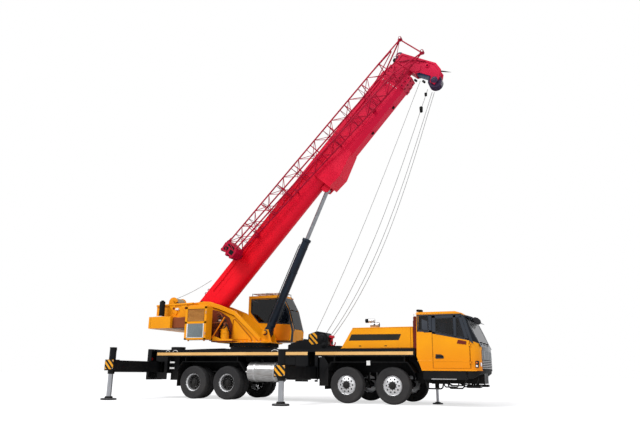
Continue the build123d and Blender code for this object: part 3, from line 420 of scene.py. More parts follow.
# row: body, leg's place along and across, leg radius, pad radius, pad thickness, collar height
foot_rows = [("front_jack", 4.49, 0.0, 0.040, 0.160, 0.040, 0.070)]
for name, x in jack_x.items():
    y = -jack_y if "right" in name else jack_y
    foot_rows.append(("outrigger_leg_" + name, x, y, 0.080, 0.250, 0.050, 0.110))
for body, x, y, leg_radius, pad_radius, thick, collar in foot_rows:
    pad = [(0.003, pad_radius - 0.04), (0.003, pad_radius + 0.002), (thick - 0.006, pad_radius + 0.002),
           (thick + 0.003, pad_radius - 0.008), (thick + 0.003, leg_radius + 0.055),
           (collar, leg_radius + 0.038), (collar + 0.004, leg_radius + 0.028),
           (collar + 0.004, leg_radius - 0.01)]
    piece(body + "_foot", body, (lathe(pad, (x, y, 0), "z", 40, caps=False), frame_black))
for name, x in jack_x.items():
    low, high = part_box("outrigger_beam_" + name)
    side = -1 if "right" in name else 1
    z0, z1 = (0.97, 1.27) if "rear" in name else (0.82, 1.12)
    face = low[1] if side < 0 else high[1]
    top = high[2]
    plate = slab(rectangle(x - 0.17, x + 0.17, z0, z1), *sorted((face - side * 0.002, face + side * 0.010)),
                 bevel=0.003)
    bolt = [(0, 0.014), (0.008, 0.014), (0.011, 0.010), (0.012, 0.001)]
    bolts = repeat(lathe(bolt, (0, face + side * 0.010, 0), "y", 6, side),
                   [(x + dx, 0, z) for dx in (-0.15, 0.15) for z in (z0 + 0.025, z1 - 0.025)])
    cap = lathe([(-0.03, 0.114), (-0.005, 0.116), (0, 0.108), (0.002, 0.06), (0.003, 0.002)],
                (x, side * jack_y, top), "z", 32)
    turn = np.linspace(0, np.pi, 16)
    hose = np.column_stack([np.full(16, x + 0.03), side * (jack_y - 0.10 - 0.012 * (1 - np.cos(turn))),
                            top - 0.10 + 0.09 * np.sin(turn)])
    piece("jack_end_" + name, "outrigger_beam_" + name, (plate, hazard), (bolts, bare_steel),
          (cap, frame_black), (tube(hose, 0.014, 10), rubber))

# ---- mudguards, tank and bumper ------------------------------------------------------------------
# Moulded plastic guards bolted over the wheels, a brushed aluminium fuel tank strapped to the frame
# by two bands, and a black plastic bumper with steps, bolted to the frame's front end.
guard_black = painted("guard_black_plastic", (0.0045, 0.0045, 0.005), (0.009, 0.009, 0.009), 0.6,
                      dust=0.05, dust_top=1.1, peel=0.08)
tank_metal = metal("tank_aluminium", (0.52, 0.515, 0.51), (0.30, 0.29, 0.28), 0.3, (0.15, 1, 1), 30)
refinish(guard_black, "mudguards", "front_bumper")
refinish(tank_metal, "fuel_tank")
low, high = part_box("fuel_tank")
tank_y, tank_z = -1.035, 0.935
strap = [(-0.035, 0.331), (-0.03, 0.337), (0.03, 0.337), (0.035, 0.331)]
dome = [(-0.004, 0.328), (0.006, 0.318), (0.008, 0.24), (0.022, 0.22), (0.028, 0.08), (0.029, 0.002)]
filler = [(0.0, 0.06), (0.045, 0.06), (0.05, 0.07), (0.085, 0.07), (0.092, 0.06), (0.094, 0.002)]
shapes = [(lathe(strap, (x, tank_y, tank_z), "x", 64), bare_steel) for x in (low[0] + 0.24, high[0] - 0.24)]
shapes += coated(tank_metal, lathe(dome, (low[0], tank_y, tank_z), "x", 48, -1),
                 lathe(dome, (high[0], tank_y, tank_z), "x", 48))
shapes += coated(frame_black, lathe(filler, (low[0] + 0.42, tank_y + 0.02, tank_z + 0.315), "z", 24))
piece("tank_straps", "carrier", *shapes)

# side markers on stalks, mud flaps and the steps under the driver's doors
shapes = []
for side in (-1, 1):
    marker = [(0, 0.05), (0.03, 0.048), (0.045, 0.035), (0.05, 0.002)]
    shapes += coated(amber, lathe(marker, (4.50, side * 1.30, 0.90), "y", 24, side))
    shapes += coated(frame_black, tube([(4.50, side * 1.12, 0.90), (4.50, side * 1.302, 0.90)], 0.022, 10))
    for x in (-4.53, 1.19):
        shapes += coated(guard_black, side_box(x - 0.012, x + 0.012, side, 0.72, 1.33, 0.42, 0.96, 0.004))
    # bent-tube steps with flat treads
    for x0, x1, foot in ((4.42, 4.98, 0.50), (5.06, 5.60, 0.52)):
        bend = [(x0, 0.78), (x0 + 0.05, foot + 0.04), (x0 + 0.10, foot), (x1 - 0.10, foot),
                (x1 - 0.05, foot + 0.04), (x1, 0.78)]
        shapes += coated(frame_black, side_tube(bend, side * 1.27, 0.022, 10),
                         side_box(x0 + 0.10, x1 - 0.10, side, 1.06, 1.27, foot - 0.006, foot + 0.006, 0.003))
    shapes += coated(bare_steel, box(4.62, 5.36, side * 1.345, side * 1.362, 0.762, 0.79, 0.003))
piece("side_fittings", "carrier", *shapes)

# ---- wheels --------------------------------------------------------------------------------------
# Single front wheels have a pale pressed disc with ten hand holes and a black hub; the rear twins
# have a deep dark dish in a silver ring. Tread blocks are cut into the tyre's surface.
tyre_rubber = painted("tyre_rubber", (0.020, 0.020, 0.022), (0.034, 0.033, 0.034), 0.7,
                      dust=0.04, dust_top=1.3, peel=0.15)
wheel_silver = metal("wheel_silver", (0.83, 0.83, 0.84), (0.66, 0.66, 0.67), 0.42, scale=10)
wheel_dark = painted("wheel_dark_paint", (0.009, 0.009, 0.010), (0.018, 0.018, 0.018), 0.5, 0.1, 0.05)
tyre_radius = 0.56


def tyre(x, y, z, out, turns=180):
    """A closed section loop swept round the axle. Across the tread the radius falls by a groove's
    depth wherever the point is near one of three zigzag lines, or in a shoulder slot."""
    across = np.linspace(-0.118, 0.118, 37)
    wall = np.array([(0.128, 0.549), (0.138, 0.532), (0.144, 0.505), (0.1495, 0.472), (0.1470, 0.462),
                     (0.1500, 0.43), (0.1495, 0.39), (0.1430, 0.352), (0.1450, 0.345), (0.137, 0.318),
                     (0.125, 0.302), (0.112, 0.298)])
    t = np.concatenate([-wall[::-1, 0], across, wall[:, 0], [0.08, 0.0, -0.08]])
    crown = tyre_radius - 0.0015 - 0.35 * across ** 2
    r = np.concatenate([wall[::-1, 1], crown, wall[:, 1], [0.33, 0.36, 0.33]])
    angle = np.arange(turns)[:, None] * 2 * np.pi / turns
    saw = np.abs((angle * 30 / (2 * np.pi)) % 1 - 0.5) * 4 - 1
    depth = np.zeros((turns, len(t)))
    for line in (-0.058, 0.0, 0.058):
        depth += np.clip(1.6 - np.abs(t[None, :] - line - 0.008 * saw) / 0.0045, 0, 1)
    slots = np.clip((np.abs(t[None, :]) - 0.084) / 0.006, 0, 1) * (((angle * 60 / (2 * np.pi)) % 1) < 0.34)
    tread = (np.abs(t) < 0.131)[None, :]
    radius = r[None, :] - 0.013 * np.clip(depth + slots, 0, 1) * tread
    points = np.stack([x + radius * np.cos(angle), np.broadcast_to(y + out * t, radius.shape),
                       z + radius * np.sin(angle)], axis=-1).reshape(-1, 3)
    return points, grid_faces(turns, len(t), True, True)


def holed_ring(inner, outer, holes, hole_radius, height, centre, out, deep=0.03, around=32):
    """A disc's ring with round holes: each sector's edge, walked in polar coordinates, is joined to
    its hole's circle by three rings; the hole's wall goes inwards. height gives the disc's bulge."""
    half_sector = np.pi / holes
    walk = np.arange(around) / around * 4
    leg, part = walk.astype(int), walk % 1
    r = np.choose(leg, [inner + 0 * part, inner + (outer - inner) * part,
                        outer + 0 * part, outer - (outer - inner) * part])
    a = np.choose(leg, [half_sector * (2 * part - 1), half_sector + 0 * part,
                        half_sector * (1 - 2 * part), -half_sector + 0 * part])
    edge = np.stack([r * np.cos(a), r * np.sin(a)], axis=1)
    middle = np.array([(inner + outer) / 2, 0.0])
    way = edge - middle
    circle = middle + hole_radius * way / np.linalg.norm(way, axis=1)[:, None]
    rings = np.stack([edge, 0.55 * edge + 0.45 * circle, circle, circle])
    turn = np.arange(holes) * 2 * half_sector
    spin = np.stack([np.cos(turn), -np.sin(turn), np.sin(turn), np.cos(turn)], axis=1).reshape(holes, 2, 2)
    flat = np.einsum("hij,rkj->hrki", spin, rings)
    lift = np.interp(np.linalg.norm(flat, axis=-1), *height)
    lift[:, 3] -= deep
    points = np.stack([flat[..., 0], out * lift, flat[..., 1]], axis=-1).reshape(-1, 3) + np.array(centre)
    sector = grid_faces(4, around)
    faces = [[i + k * 4 * around for i in face] for k in range(holes) for face in sector]
    return points, faces


flange = [(-0.10, 0.262), (-0.112, 0.303), (-0.120, 0.303), (-0.122, 0.298), (-0.100, 0.268), (0.0, 0.255),
          (0.085, 0.262), (0.100, 0.270), (0.112, 0.286), (0.124, 0.298), (0.130, 0.302), (0.122, 0.305),
          (0.108, 0.300), (0.095, 0.275)]
nut = [(0, 0.013), (0.014, 0.013), (0.018, 0.009), (0.026, 0.008), (0.027, 0.001)]
bulge_places = [0.09, 0.15, 0.20, 0.25, 0.27]
for node in [n for n in nodes if n.startswith("wheel_")]:
    low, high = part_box(node)
    x, z = (low[0] + high[0]) / 2, (low[2] + high[2]) / 2
    out = 1 if low[1] > 0 else -1
    front = node[6] in "12"
    centres = [(low[1] + high[1]) / 2] if front else [out * 0.87, out * 1.21]
    y = centres[-1]
    shapes = [(tyre(x, c, z, out), tyre_rubber) for c in centres]
    shapes += [(lathe(flange, (x, c, z), "y", 72, out, caps=False), wheel_silver) for c in centres]
    if front:
        bulge = (bulge_places, [0.150, 0.146, 0.132, 0.104, 0.090])
        rim = [(0.104, 0.247), (0.100, 0.262), (0.060, 0.263), (0.060, 0.10)]
        lip = [(0.09, 0.151), (0.146, 0.151), (0.150, 0.140), (0.152, 0.118)]
        shapes += coated(wheel_silver, holed_ring(0.150, 0.248, 10, 0.026, bulge, (x, y, z), out),
                         lathe(rim, (x, y, z), "y", 72, out, caps=False))
        shapes += coated(wheel_dark,
                         lathe([(0.10, 0.255), (0.092, 0.12), (0.09, 0.10)], (x, y, z), "y", 48, out))
        shapes += coated(wheel_silver, lathe(lip, (x, y, z), "y", 72, out, caps=False))
        hub = [(0.09, 0.112), (0.160, 0.110), (0.172, 0.098), (0.178, 0.062), (0.196, 0.056), (0.202, 0.040),
               (0.203, 0.002)]
        nut_stand, nut_circle, nut_finish = 0.150, 0.132, wheel_dark
    else:
        bulge = (bulge_places, [-0.060, -0.060, -0.052, -0.040, -0.030])
        lip = [(-0.10, 0.151), (-0.062, 0.151), (-0.058, 0.140), (-0.058, 0.10)]
        shapes += coated(wheel_dark, holed_ring(0.150, 0.252, 8, 0.028, bulge, (x, y, z), out),
                         lathe(lip, (x, y, z), "y", 48, out))
        hub = [(-0.06, 0.125), (0.030, 0.122), (0.050, 0.108), (0.056, 0.075), (0.078, 0.070), (0.088, 0.050),
               (0.089, 0.002)]
        nut_stand, nut_circle, nut_finish = -0.058, 0.138, bare_steel
    shapes += coated(wheel_dark, lathe(hub, (x, y, z), "y", 48, out))
    turn = np.arange(10) * 2 * np.pi / 10 + 0.3
    ring = np.column_stack([x + nut_circle * np.cos(turn), np.full(10, y + out * nut_stand),
                            z + nut_circle * np.sin(turn)])
    shapes += coated(nut_finish, repeat(lathe(nut, (0, 0, 0), "y", 6, out), ring))
    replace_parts(piece("made_" + node, node, *shapes), node)

# ---- engine, hood and exhaust --------------------------------------------------------------------
# A plain pressed hood over the cast engine, with a bare black band slanted at both ends, a rolled
# lower flange, shut lines, and a bright muffler whose black elbow points to the rear.
crane_yellow = (0.86, 0.335, 0.004), (0.80, 0.295, 0.004)
yellow = painted("crane_yellow_paint", *crane_yellow, 0.36, 0.05)
band_black = painted("band_black_paint", (0.018, 0.017, 0.012), (0.026, 0.024, 0.018), 0.4, 0.05)
gap_black = painted("shut_line_black", (0.006, 0.006, 0.006), (0.010, 0.010, 0.010), 0.8)
engine_grey = painted("engine_grey_casting", (0.12, 0.12, 0.125), (0.07, 0.07, 0.07), 0.6,
                      dust=0.2, dust_top=2.0, peel=0.1)
refinish(engine_grey, "engine_block")
refinish(yellow, "engine_hood")
hood_half = 1.25             # half the hood's width
near, far = hood_half - 0.001, hood_half + 0.003
shapes = []
for side in (-1, 1):
    band = [(1.965, 1.925), (3.62, 1.925), (3.70, 2.110), (2.06, 2.122)]
    shapes += coated(band_black, side_slab(band, side, near, far, 0.001))
    # rolled flange along the bottom, and a soft crease under the top edge
    shapes += coated(yellow, side_tube([(1.73, 1.705), (4.06, 1.705)], side * hood_half, 0.012, 10),
                     side_tube([(2.10, 2.318), (4.06, 2.318)], side * (hood_half - 0.004), 0.014, 10))
    shapes += coated(gap_black, side_slab(rectangle(3.995, 4.003, 1.69, 2.32), side, near, far, 0.0005),
                     *[side_slab(rectangle(x - 0.04, x + 0.04, 1.742, 1.768), side, near, far, 0.001)
                       for x in (2.35, 3.20)])
# ribs on the hood's top and slats in its sloping rear
for y in (-0.75, -0.25, 0.25, 0.75):
    shapes += coated(yellow, box(2.20, 3.95, y - 0.03, y + 0.03, 2.326, 2.338, 0.005))
for z in np.linspace(1.80, 2.24, 9):
    x = 1.70 + (z - 1.675) / (2.33 - 1.675) * 0.406 - 0.006
    shapes += coated(gap_black, box(x - 0.004, x + 0.012, -0.55, 0.55, z - 0.012, z + 0.012, 0.003))
piece("hood_details", "carrier", *shapes)

refinish(bare_steel, "exhaust_stack")
pipe_y = -1.0
turn = np.linspace(0, np.pi / 2, 8)
clamp = [(-0.006, 0.080), (0, 0.088), (0.018, 0.088), (0.022, 0.080)]
mouth = [(0.0, 0.058), (0.012, 0.066), (0.10, 0.066), (0.112, 0.062), (0.112, 0.050), (0.03, 0.048),
         (0.02, 0.002)]
piece("exhaust_details", "carrier",
      *coated(bare_steel, *[lathe(clamp, (x, pipe_y, 2.42), "x", 32) for x in (2.66, 2.88)]),
      *coated(frame_black, lathe(mouth, (2.575, pipe_y, 2.56), "x", 32, -1),
              lathe([(0, 0.050), (0.004, 0.050), (0.005, 0.002)], (2.92, pipe_y, 2.42), "x", 24),
              lathe([(0, 0.032), (0.004, 0.032), (0.005, 0.002)], (2.78, pipe_y - 0.084, 2.43), "y", 24, -1)))


# ---- driver's cab --------------------------------------------------------------------------------
# Flat panes set in black rubber, dark pillars over the yellow shell, a grey front panel with
# slats, headlights, long mirrors, wipers, a sun visor and, inside, two padded seats and a wheel.
def overlaid(material, colour, *edges):
    """A second colour over a paint where every edge (direction, start, end) is passed: the distance
    along the direction fades it in from start to end."""
    tree = material.node_tree
    place = shader_node(tree, "TexCoord").outputs["Object"]
    amount = None
    for direction, start, end in edges:
        reach = shader_node(tree, "VectorMath", {0: place, 1: direction}, operation="DOT_PRODUCT")
        fade = shader_node(tree, "MapRange",
                           {"Value": reach.outputs["Value"], "From Min": start, "From Max": end})
        passed = fade.outputs["Result"]
        if amount is not None:
            passed = shader_node(tree, "Math", {0: amount, 1: passed}, operation="MULTIPLY").outputs[0]
        amount = passed
    laid_over(tree, amount, colour)


# the greenhouse is black from the rear pillar to the windscreen, and painted shade darkens the yellow towards
# orange downwards
greenhouse_black = (0.010, 0.012, 0.016)
cab_yellow = painted("cab_yellow_paint", *crane_yellow, 0.36, 0.05)
door_yellow = painted("door_yellow_paint", *crane_yellow, 0.36, 0.05)
for paint in (cab_yellow, door_yellow):
    overlaid(paint, (0.80, 0.25, 0.003), ((0.0, 0.0, -1.0), -1.85, -1.10))
overlaid(cab_yellow, greenhouse_black, ((1.0, 0.0, 0.26), 6.262, 6.268), ((0.40, 0.0, 1.0), 4.208, 4.214),
         ((0.0, 0.0, -1.0), -2.645, -2.640))
overlaid(cab_yellow, greenhouse_black, ((1.0, 0.0, 0.0), 4.440, 4.444), ((0.0, 0.0, 1.0), 2.128, 2.132),
         ((0.0, 0.0, -1.0), -2.634, -2.630))
overlaid(door_yellow, greenhouse_black, ((0.194, 0.0, 1.0), 3.004, 3.008))
red_brown = painted("shadow_red_brown", (0.16, 0.02, 0.012), (0.11, 0.015, 0.010), 0.5)
trim_dark = painted("trim_dark_plastic", (0.016, 0.016, 0.018), (0.026, 0.026, 0.028), 0.5, peel=0.05)
pillar_dark = painted("pillar_dark_paint", (0.020, 0.026, 0.036), (0.030, 0.036, 0.048), 0.25, 0.5)
lamp_clear = painted("lamp_clear", (0.85, 0.85, 0.86), (0.55, 0.56, 0.58), 0.15, 0.6)
panel_grey = painted("panel_grey_paint", (0.20, 0.21, 0.225), (0.15, 0.16, 0.17), 0.35, 0.2)
refinish(cab_yellow, "driver_cab")
refinish(door_yellow, "driver_door_right", "driver_door_left")
refinish(pillar_dark, "cab_interior")

# tinted glass: a drifting tint seen through, and a mirror that grows towards grazing angles
glass = bpy.data.materials.new("tinted_glass")
glass.use_nodes = True
tree = glass.node_tree
tree.nodes.clear()
place = shader_node(tree, "TexCoord").outputs["Object"]
drift = shader_node(tree, "TexNoise", {"Vector": place, "Scale": 1.5}).outputs["Fac"]
tint = shader_node(tree, "Mix", {"Factor": drift, "A": (0.30, 0.32, 0.35, 1), "B": (0.16, 0.17, 0.20, 1)},
                   data_type="RGBA")
clear = shader_node(tree, "BsdfTransparent", {"Color": tint.outputs["Result"]})
gloss = shader_node(tree, "BsdfGlossy", {"Roughness": 0.03})
fresnel = shader_node(tree, "Fresnel", {"IOR": 1.5})
mix = shader_node(tree, "MixShader", {0: fresnel.outputs[0], 1: clear.outputs[0], 2: gloss.outputs[0]})
shader_node(tree, "OutputMaterial", {0: mix.outputs[0]})

wall = 1.375                 # the cab's side wall


def walk_round(outline):
    """A closed outline walked in eight steps along each edge."""
    ring = np.array(outline + outline[:1])
    edges = [np.linspace(a, b, 8, endpoint=False) for a, b in zip(ring, ring[1:])]
    return np.concatenate(edges + [ring[-1:]])


def pane(outline, side):
    """A flat pane in the cab's side with a rubber frame: a tube round the pane's outline."""
    return [(side_slab(outline, side, wall - 0.012, wall - 0.018, 0.001), glass),
            (side_tube(walk_round(outline), side * (wall - 0.004), 0.014), trim_dark)]


def skin_panels(finish, side, thick, *outlines):
    """Thin overlays on the cab's side wall."""
    skins = [side_slab(outline, side, wall - 0.002, wall - 0.002 + thick, 0.0015) for outline in outlines]
    return coated(finish, *skins)


cab_lamp = [(0, 0.030), (0.010, 0.030), (0.018, 0.018), (0.020, 0.002)]
turn_lamp = [(0, 0.022), (0.010, 0.022), (0.016, 0.012), (0.018, 0.002)]
for side, name in ((-1, "right"), (1, "left")):
    shapes = pane([(4.285, 2.215), (4.575, 2.185), (4.575, 2.625), (4.30, 2.625)], side)
    # dark greenhouse round the quarter window, its upper band, and the windscreen pillar
    shapes += skin_panels(pillar_dark, side, 0.005,
                          [(4.235, 2.16), (4.685, 2.14), (4.685, 2.19), (4.235, 2.215)],
                          [(4.235, 2.16), (4.27, 2.16), (4.275, 2.66), (4.235, 2.66)],
                          [(4.595, 2.14), (4.685, 2.14), (4.685, 2.66), (4.595, 2.66)],
                          [(4.235, 2.64), (5.60, 2.645), (5.575, 2.672), (4.235, 2.672)],
                          [(5.80, 1.86), (5.905, 1.78), (5.70, 2.50), (5.60, 2.665), (5.575, 2.645)])
    # pressed crease along the panel, wheel-arch edge and rain gutter
    for inset, radius, run in ((0.002, 0.007, [(4.215, 1.30), (4.675, 1.297)]),
                               (0.004, 0.012, [(4.20, 1.46), (4.35, 1.022), (5.95, 1.022)]),
                               (0.002, 0.010, [(4.21, 2.70), (5.50, 2.70), (5.60, 2.68)])):
        shapes += coated(yellow, side_tube(run, side * (wall - inset), radius))
    # red-brown shadow gap behind the cab, with its rubber seal
    seal = [(4.085, 1.69), (4.195, 1.46), (4.195, 2.60), (4.085, 2.50)]
    shapes += coated(red_brown, side_slab(seal, side, 1.20, 1.262))
    # headlight pod at the corner, with its round lamp and amber turn light
    pod = [(5.900, 1.110), (6.000, 1.110), (6.015, 1.30), (5.915, 1.30)]
    shapes += coated(trim_dark, side_slab(pod, side, 1.20, 1.325, 0.012))
    shapes += coated(lamp_clear, lathe(cab_lamp, (5.958, side * 1.320, 1.155), "y", 24, side))
    shapes += coated(amber, lathe(turn_lamp, (5.958, side * 1.320, 1.245), "y", 24, side))
    # mirror head on an arm from the pillar's top; the far one is folded back
    folded = 0.0 if side < 0 else -0.42
    arm = [(5.60, 1.33, 2.60), (5.75, 1.36, 2.60), (5.90, 1.365, 2.55), (6.00, 1.355, 2.48)]
    shell = [(5.915, 2.535), (5.98, 2.56), (6.06, 2.535), (6.13, 2.47), (6.145, 2.39), (6.10, 2.345),
             (6.02, 2.345), (5.94, 2.40)]
    shapes += coated(trim_dark, tube([(x + folded, side * y, z) for x, y, z in arm], 0.016, 10),
                     side_slab([(x + folded, z) for x, z in shell], side, 1.23, 1.36, 0.03))
    piece("cab_side_" + name, "carrier", *shapes)

    # the door's panes, greenhouse, handle and shut lines ride with it
    shapes = pane([(4.815, 2.145), (5.325, 2.038), (5.325, 2.545), (4.815, 2.545)], side)
    shapes += pane([(5.435, 2.015), (5.645, 1.972), (5.475, 2.545), (5.435, 2.545)], side)
    shapes += skin_panels(pillar_dark, side, 0.005,
                          [(4.700, 2.105), (5.770, 1.882), (5.762, 1.93), (4.700, 2.150)],
                          rectangle(4.700, 4.800, 2.09, 2.63),
                          [(5.342, 2.00), (5.418, 1.98), (5.418, 2.63), (5.342, 2.63)],
                          [(4.700, 2.562), (5.585, 2.562), (5.565, 2.632), (4.700, 2.632)],
                          [(5.665, 1.93), (5.770, 1.89), (5.585, 2.60), (5.500, 2.57)])
    shapes += skin_panels(yellow, side, 0.009, [(4.70, 1.286), (5.765, 1.275), (5.765, 1.290), (4.70, 1.303)])
    cup = [(4.765, 1.375), (4.80, 1.362), (5.00, 1.365), (5.022, 1.40), (5.00, 1.45), (4.93, 1.487),
           (4.78, 1.487)]
    shapes += skin_panels(trim_dark, side, 0.012, cup)
    grip = [(4.79, 0.014, 1.43), (4.82, 0.022, 1.432), (4.97, 0.022, 1.432), (5.00, 0.014, 1.43)]
    shapes += coated(gap_black, tube([(x, side * (wall + stand), z) for x, stand, z in grip], 0.010))
    # painted shadow in red-brown under the front of the window, then the door's two shut lines
    shapes += skin_panels(red_brown, side, 0.014, [(5.42, 1.80), (5.69, 1.765), (5.70, 1.86), (5.46, 1.905)])
    shapes += skin_panels(gap_black, side, 0.0035, rectangle(4.696, 4.702, 1.10, 2.09),
                          rectangle(5.769, 5.775, 1.10, 1.86))
    lining = [(4.75, 1.16), (5.70, 1.16), (5.70, 1.84), (4.75, 2.03)]
    shapes += coated(trim_dark, side_slab(lining, side, wall - 0.045, wall - 0.058, 0.005))
    piece("door_details_" + name, "driver_door_" + name, *shapes)

# windscreen: a pane in the leaning opening, between black bands above, below and at its sides
low_edge, high_edge = np.array([6.045, 1.80]), np.array([5.735, 2.475])
long = float(np.linalg.norm(high_edge - low_edge))
lean = (high_edge - low_edge) / long
square = np.array([lean[1], -lean[0]])


def on_screen(up, off):
    """A point of the screen's leaning line: a distance up it and a distance off it, forwards."""
    return low_edge + lean * up + square * off


def screen_strip(start, end, y0, y1, depth, thick):
    """A band of the leaning front between two distances up the screen line."""
    corners = [on_screen(start, depth), on_screen(end, depth), on_screen(end, depth - thick),
               on_screen(start, depth - thick)]
    return slab(corners, y0, y1, bevel=0.0015)


shapes = [(screen_strip(0.0, long, -1.055, 1.055, 0.0, 0.006), glass)]
shapes += coated(pillar_dark, screen_strip(-0.10, 0.015, -1.20, 1.20, 0.004, 0.010),
                 screen_strip(long - 0.02, long + 0.07, -1.16, 1.16, 0.004, 0.010),
                 screen_strip(0.0, long, -1.14, -1.05, 0.004, 0.008),
                 screen_strip(0.0, long, 1.05, 1.14, 0.004, 0.008))
# wipers, parked along the foot of the glass: an arm from the cowl to the middle of each blade
for y in (-0.97, -0.31, 0.35):
    for radius, (up0, off0, y0), (up1, off1, y1) in (
            (0.009, (-0.05, 0.020, y), (0.060, 0.020, y + 0.30)),
            (0.010, (0.045, 0.010, y + 0.02), (0.075, 0.010, y + 0.60))):
        (x0, z0), (x1, z1) = on_screen(up0, off0), on_screen(up1, off1)
        shapes += coated(gap_black, tube([(x0, y0, z0), (x1, y1, z1)], radius))
piece("windscreen", "carrier", *shapes)


def front_strip(y0, y1, z0, z1, stand, thick=0.03, bevel=0.004):
    """A strip round the front between two heights: the face is a shallow bow between its corners,
    then a rounder turn to the sides, and the strip's back is the same curve set back."""
    y = np.linspace(y0, y1, 25)
    off, corner = np.abs(y), 1.05
    past = off - corner
    face = 6.15 - np.where(off < corner, 0.068 * off ** 2, 0.075 + 0.6 * past + 2.6 * past ** 2)
    edge = np.column_stack([face + stand, y])
    back = edge - np.array([thick, 0])
    return slab(np.concatenate([edge, back[::-1]]), z0, z1, "xy", bevel)


# front panel: cowl, grey panel, grille slats, sill and corner guards that follow the bowed face
shapes = [(front_strip(-1.20, 1.20, 1.60, 1.715, 0.004), pillar_dark),
          (front_strip(-1.10, 1.10, 1.34, 1.60, 0.005), panel_grey),
          (front_strip(-1.10, 1.10, 1.055, 1.34, 0.004), trim_dark),
          (front_strip(-1.20, 1.20, 1.022, 1.075, 0.010), guard_black)]
for z in np.linspace(1.10, 1.30, 5):
    shapes += coated(bare_steel, front_strip(-1.08, 1.08, z - 0.010, z + 0.010, 0.012, 0.01))
for y in np.linspace(-0.9, 0.9, 7):
    shapes += coated(trim_dark, front_strip(y - 0.006, y + 0.006, 1.35, 1.59, 0.008, 0.008, 0.002))
for side in (-1, 1):
    headlight = [(0, 0.062), (0.012, 0.062), (0.028, 0.045), (0.034, 0.002)]
    shapes += coated(trim_dark, front_strip(*sorted((side * 1.06, side * 1.20)), 1.04, 1.62, 0.012))
    shapes += coated(lamp_clear, lathe(headlight, (6.045, side * 1.13, 1.20), "x", 32))
visor = [(5.66, 2.60), (5.72, 2.575), (5.90, 2.52), (5.905, 2.535), (5.74, 2.605), (5.655, 2.645)]
shapes += coated(pillar_dark, slab(visor, -1.18, 1.18))
shapes += coated(trim_dark, *[side_tube([(5.60, 2.67), (5.70, 2.625)], y, 0.010)
                              for y in (-1.0, -0.35, 0.35, 1.0)])
for y in (-0.95, -0.80, 0.80, 0.95):
    bead = [(0, 0.045), (0.02, 0.045), (0.05, 0.030), (0.055, 0.002)]
    shapes += coated(amber if abs(y) > 0.9 else lamp_clear, lathe(bead, (4.40, y, 2.74), "z", 24))
# lamp cluster on a post and the air intake behind the cab
shapes += coated(frame_black, box(4.24, 4.33, -1.06, -0.90, 2.74, 2.86, 0.01),
                 box(4.16, 4.26, -1.05, -0.91, 2.80, 2.87, 0.015))
marker = [(0, 0.034), (0.01, 0.034), (0.018, 0.002)]
shapes += coated(lamp_clear, lathe(marker, (4.15, -0.98, 2.835), "x", 20, -1))
shapes += coated(yellow, tube([(4.13, -0.95, 2.34), (4.13, -0.95, 2.62)], 0.055, 16),
                 box(4.05, 4.17, -1.07, -0.88, 2.33, 2.50, 0.02))
# painted shadow in red-brown behind the intake's pipe
shapes += coated(red_brown, box(4.04, 4.12, -1.03, -0.90, 2.49, 2.66, 0.02))


def arc(x, z, wide, high, start=0.0, end=2 * np.pi, count=25):
    """Points (x, z) of an ellipse's arc, by the cosine and the sine of an even angle."""
    turn = np.linspace(start, end, count)
    return np.column_stack([x + wide * np.cos(turn), z + high * np.sin(turn)])


shapes += coated(bare_steel, side_tube(arc(4.09, 2.705, 0.045, 0.045), -0.97, 0.008))
piece("cab_front", "carrier", *shapes)

# padded seats: box cushions pulled in at the edges, on the same places as the driver's two seats
seat_cloth = painted("seat_cloth", (0.035, 0.036, 0.040), (0.055, 0.055, 0.060), 0.85, peel=0.3)


def cushion(x0, x1, y0, y1, z0, z1, lean=0.0, cells=14):
    """A cushion: a cube's faces as grids pushed onto a rounded box by a power law, leaning with height."""
    u, v = np.meshgrid(np.linspace(-1, 1, cells), np.linspace(-1, 1, cells))
    one = np.ones_like(u)
    sheets = [(u, v, one), (u, v, -one), (u, one, v), (u, -one, v), (one, u, v), (-one, u, v)]
    points = np.concatenate([np.stack(s, axis=-1).reshape(-1, 3) for s in sheets])
    size = np.sum(np.abs(points) ** 6, axis=1) ** (1 / 6)
    points = points / size[:, None]
    points[:, 2] += 0.05 * (points[:, 2] > 0.5) * (1 - points[:, 0] ** 2) * (1 - points[:, 1] ** 2)
    middle = np.array([(x0 + x1) / 2, (y0 + y1) / 2, (z0 + z1) / 2])
    span = np.array([(x1 - x0) / 2, (y1 - y0) / 2, (z1 - z0) / 2.1])
    placed = middle + points * span
    placed[:, 0] -= lean * (placed[:, 2] - z0)
    faces = [[i + k * cells * cells for i in face]
             for k in range(6) for face in grid_faces(cells, cells, False, False)]
    return placed, faces


for side, name in ((-1, "right"), (1, "left")):
    y = side * 0.64
    seat = piece("driver_cushions_" + name, "carrier",
                 *coated(seat_cloth, cushion(4.66, 5.14, y - 0.24, y + 0.24, 1.44, 1.60),
                         cushion(4.62, 4.76, y - 0.24, y + 0.24, 1.58, 2.10, 0.12),
                         cushion(4.58, 4.68, y - 0.13, y + 0.13, 2.12, 2.28, 0.1)))
ring = np.linspace(0, 2 * np.pi, 33)
wheel_ring = np.column_stack([5.48 + 0.08 * np.sin(ring), 0.64 + 0.22 * np.cos(ring),
                              1.86 + 0.20 * np.sin(ring)])
shapes = [(tube(wheel_ring, 0.016, 10), gap_black),
          (side_tube([(5.66, 1.62), (5.48, 1.86)], 0.64, 0.03, 12), trim_dark)]
shapes += coated(gap_black, *[tube([wheel_ring[k], (5.49, 0.64, 1.85)], 0.012) for k in (0, 11, 22)])
piece("steering_wheel", "carrier", *shapes)

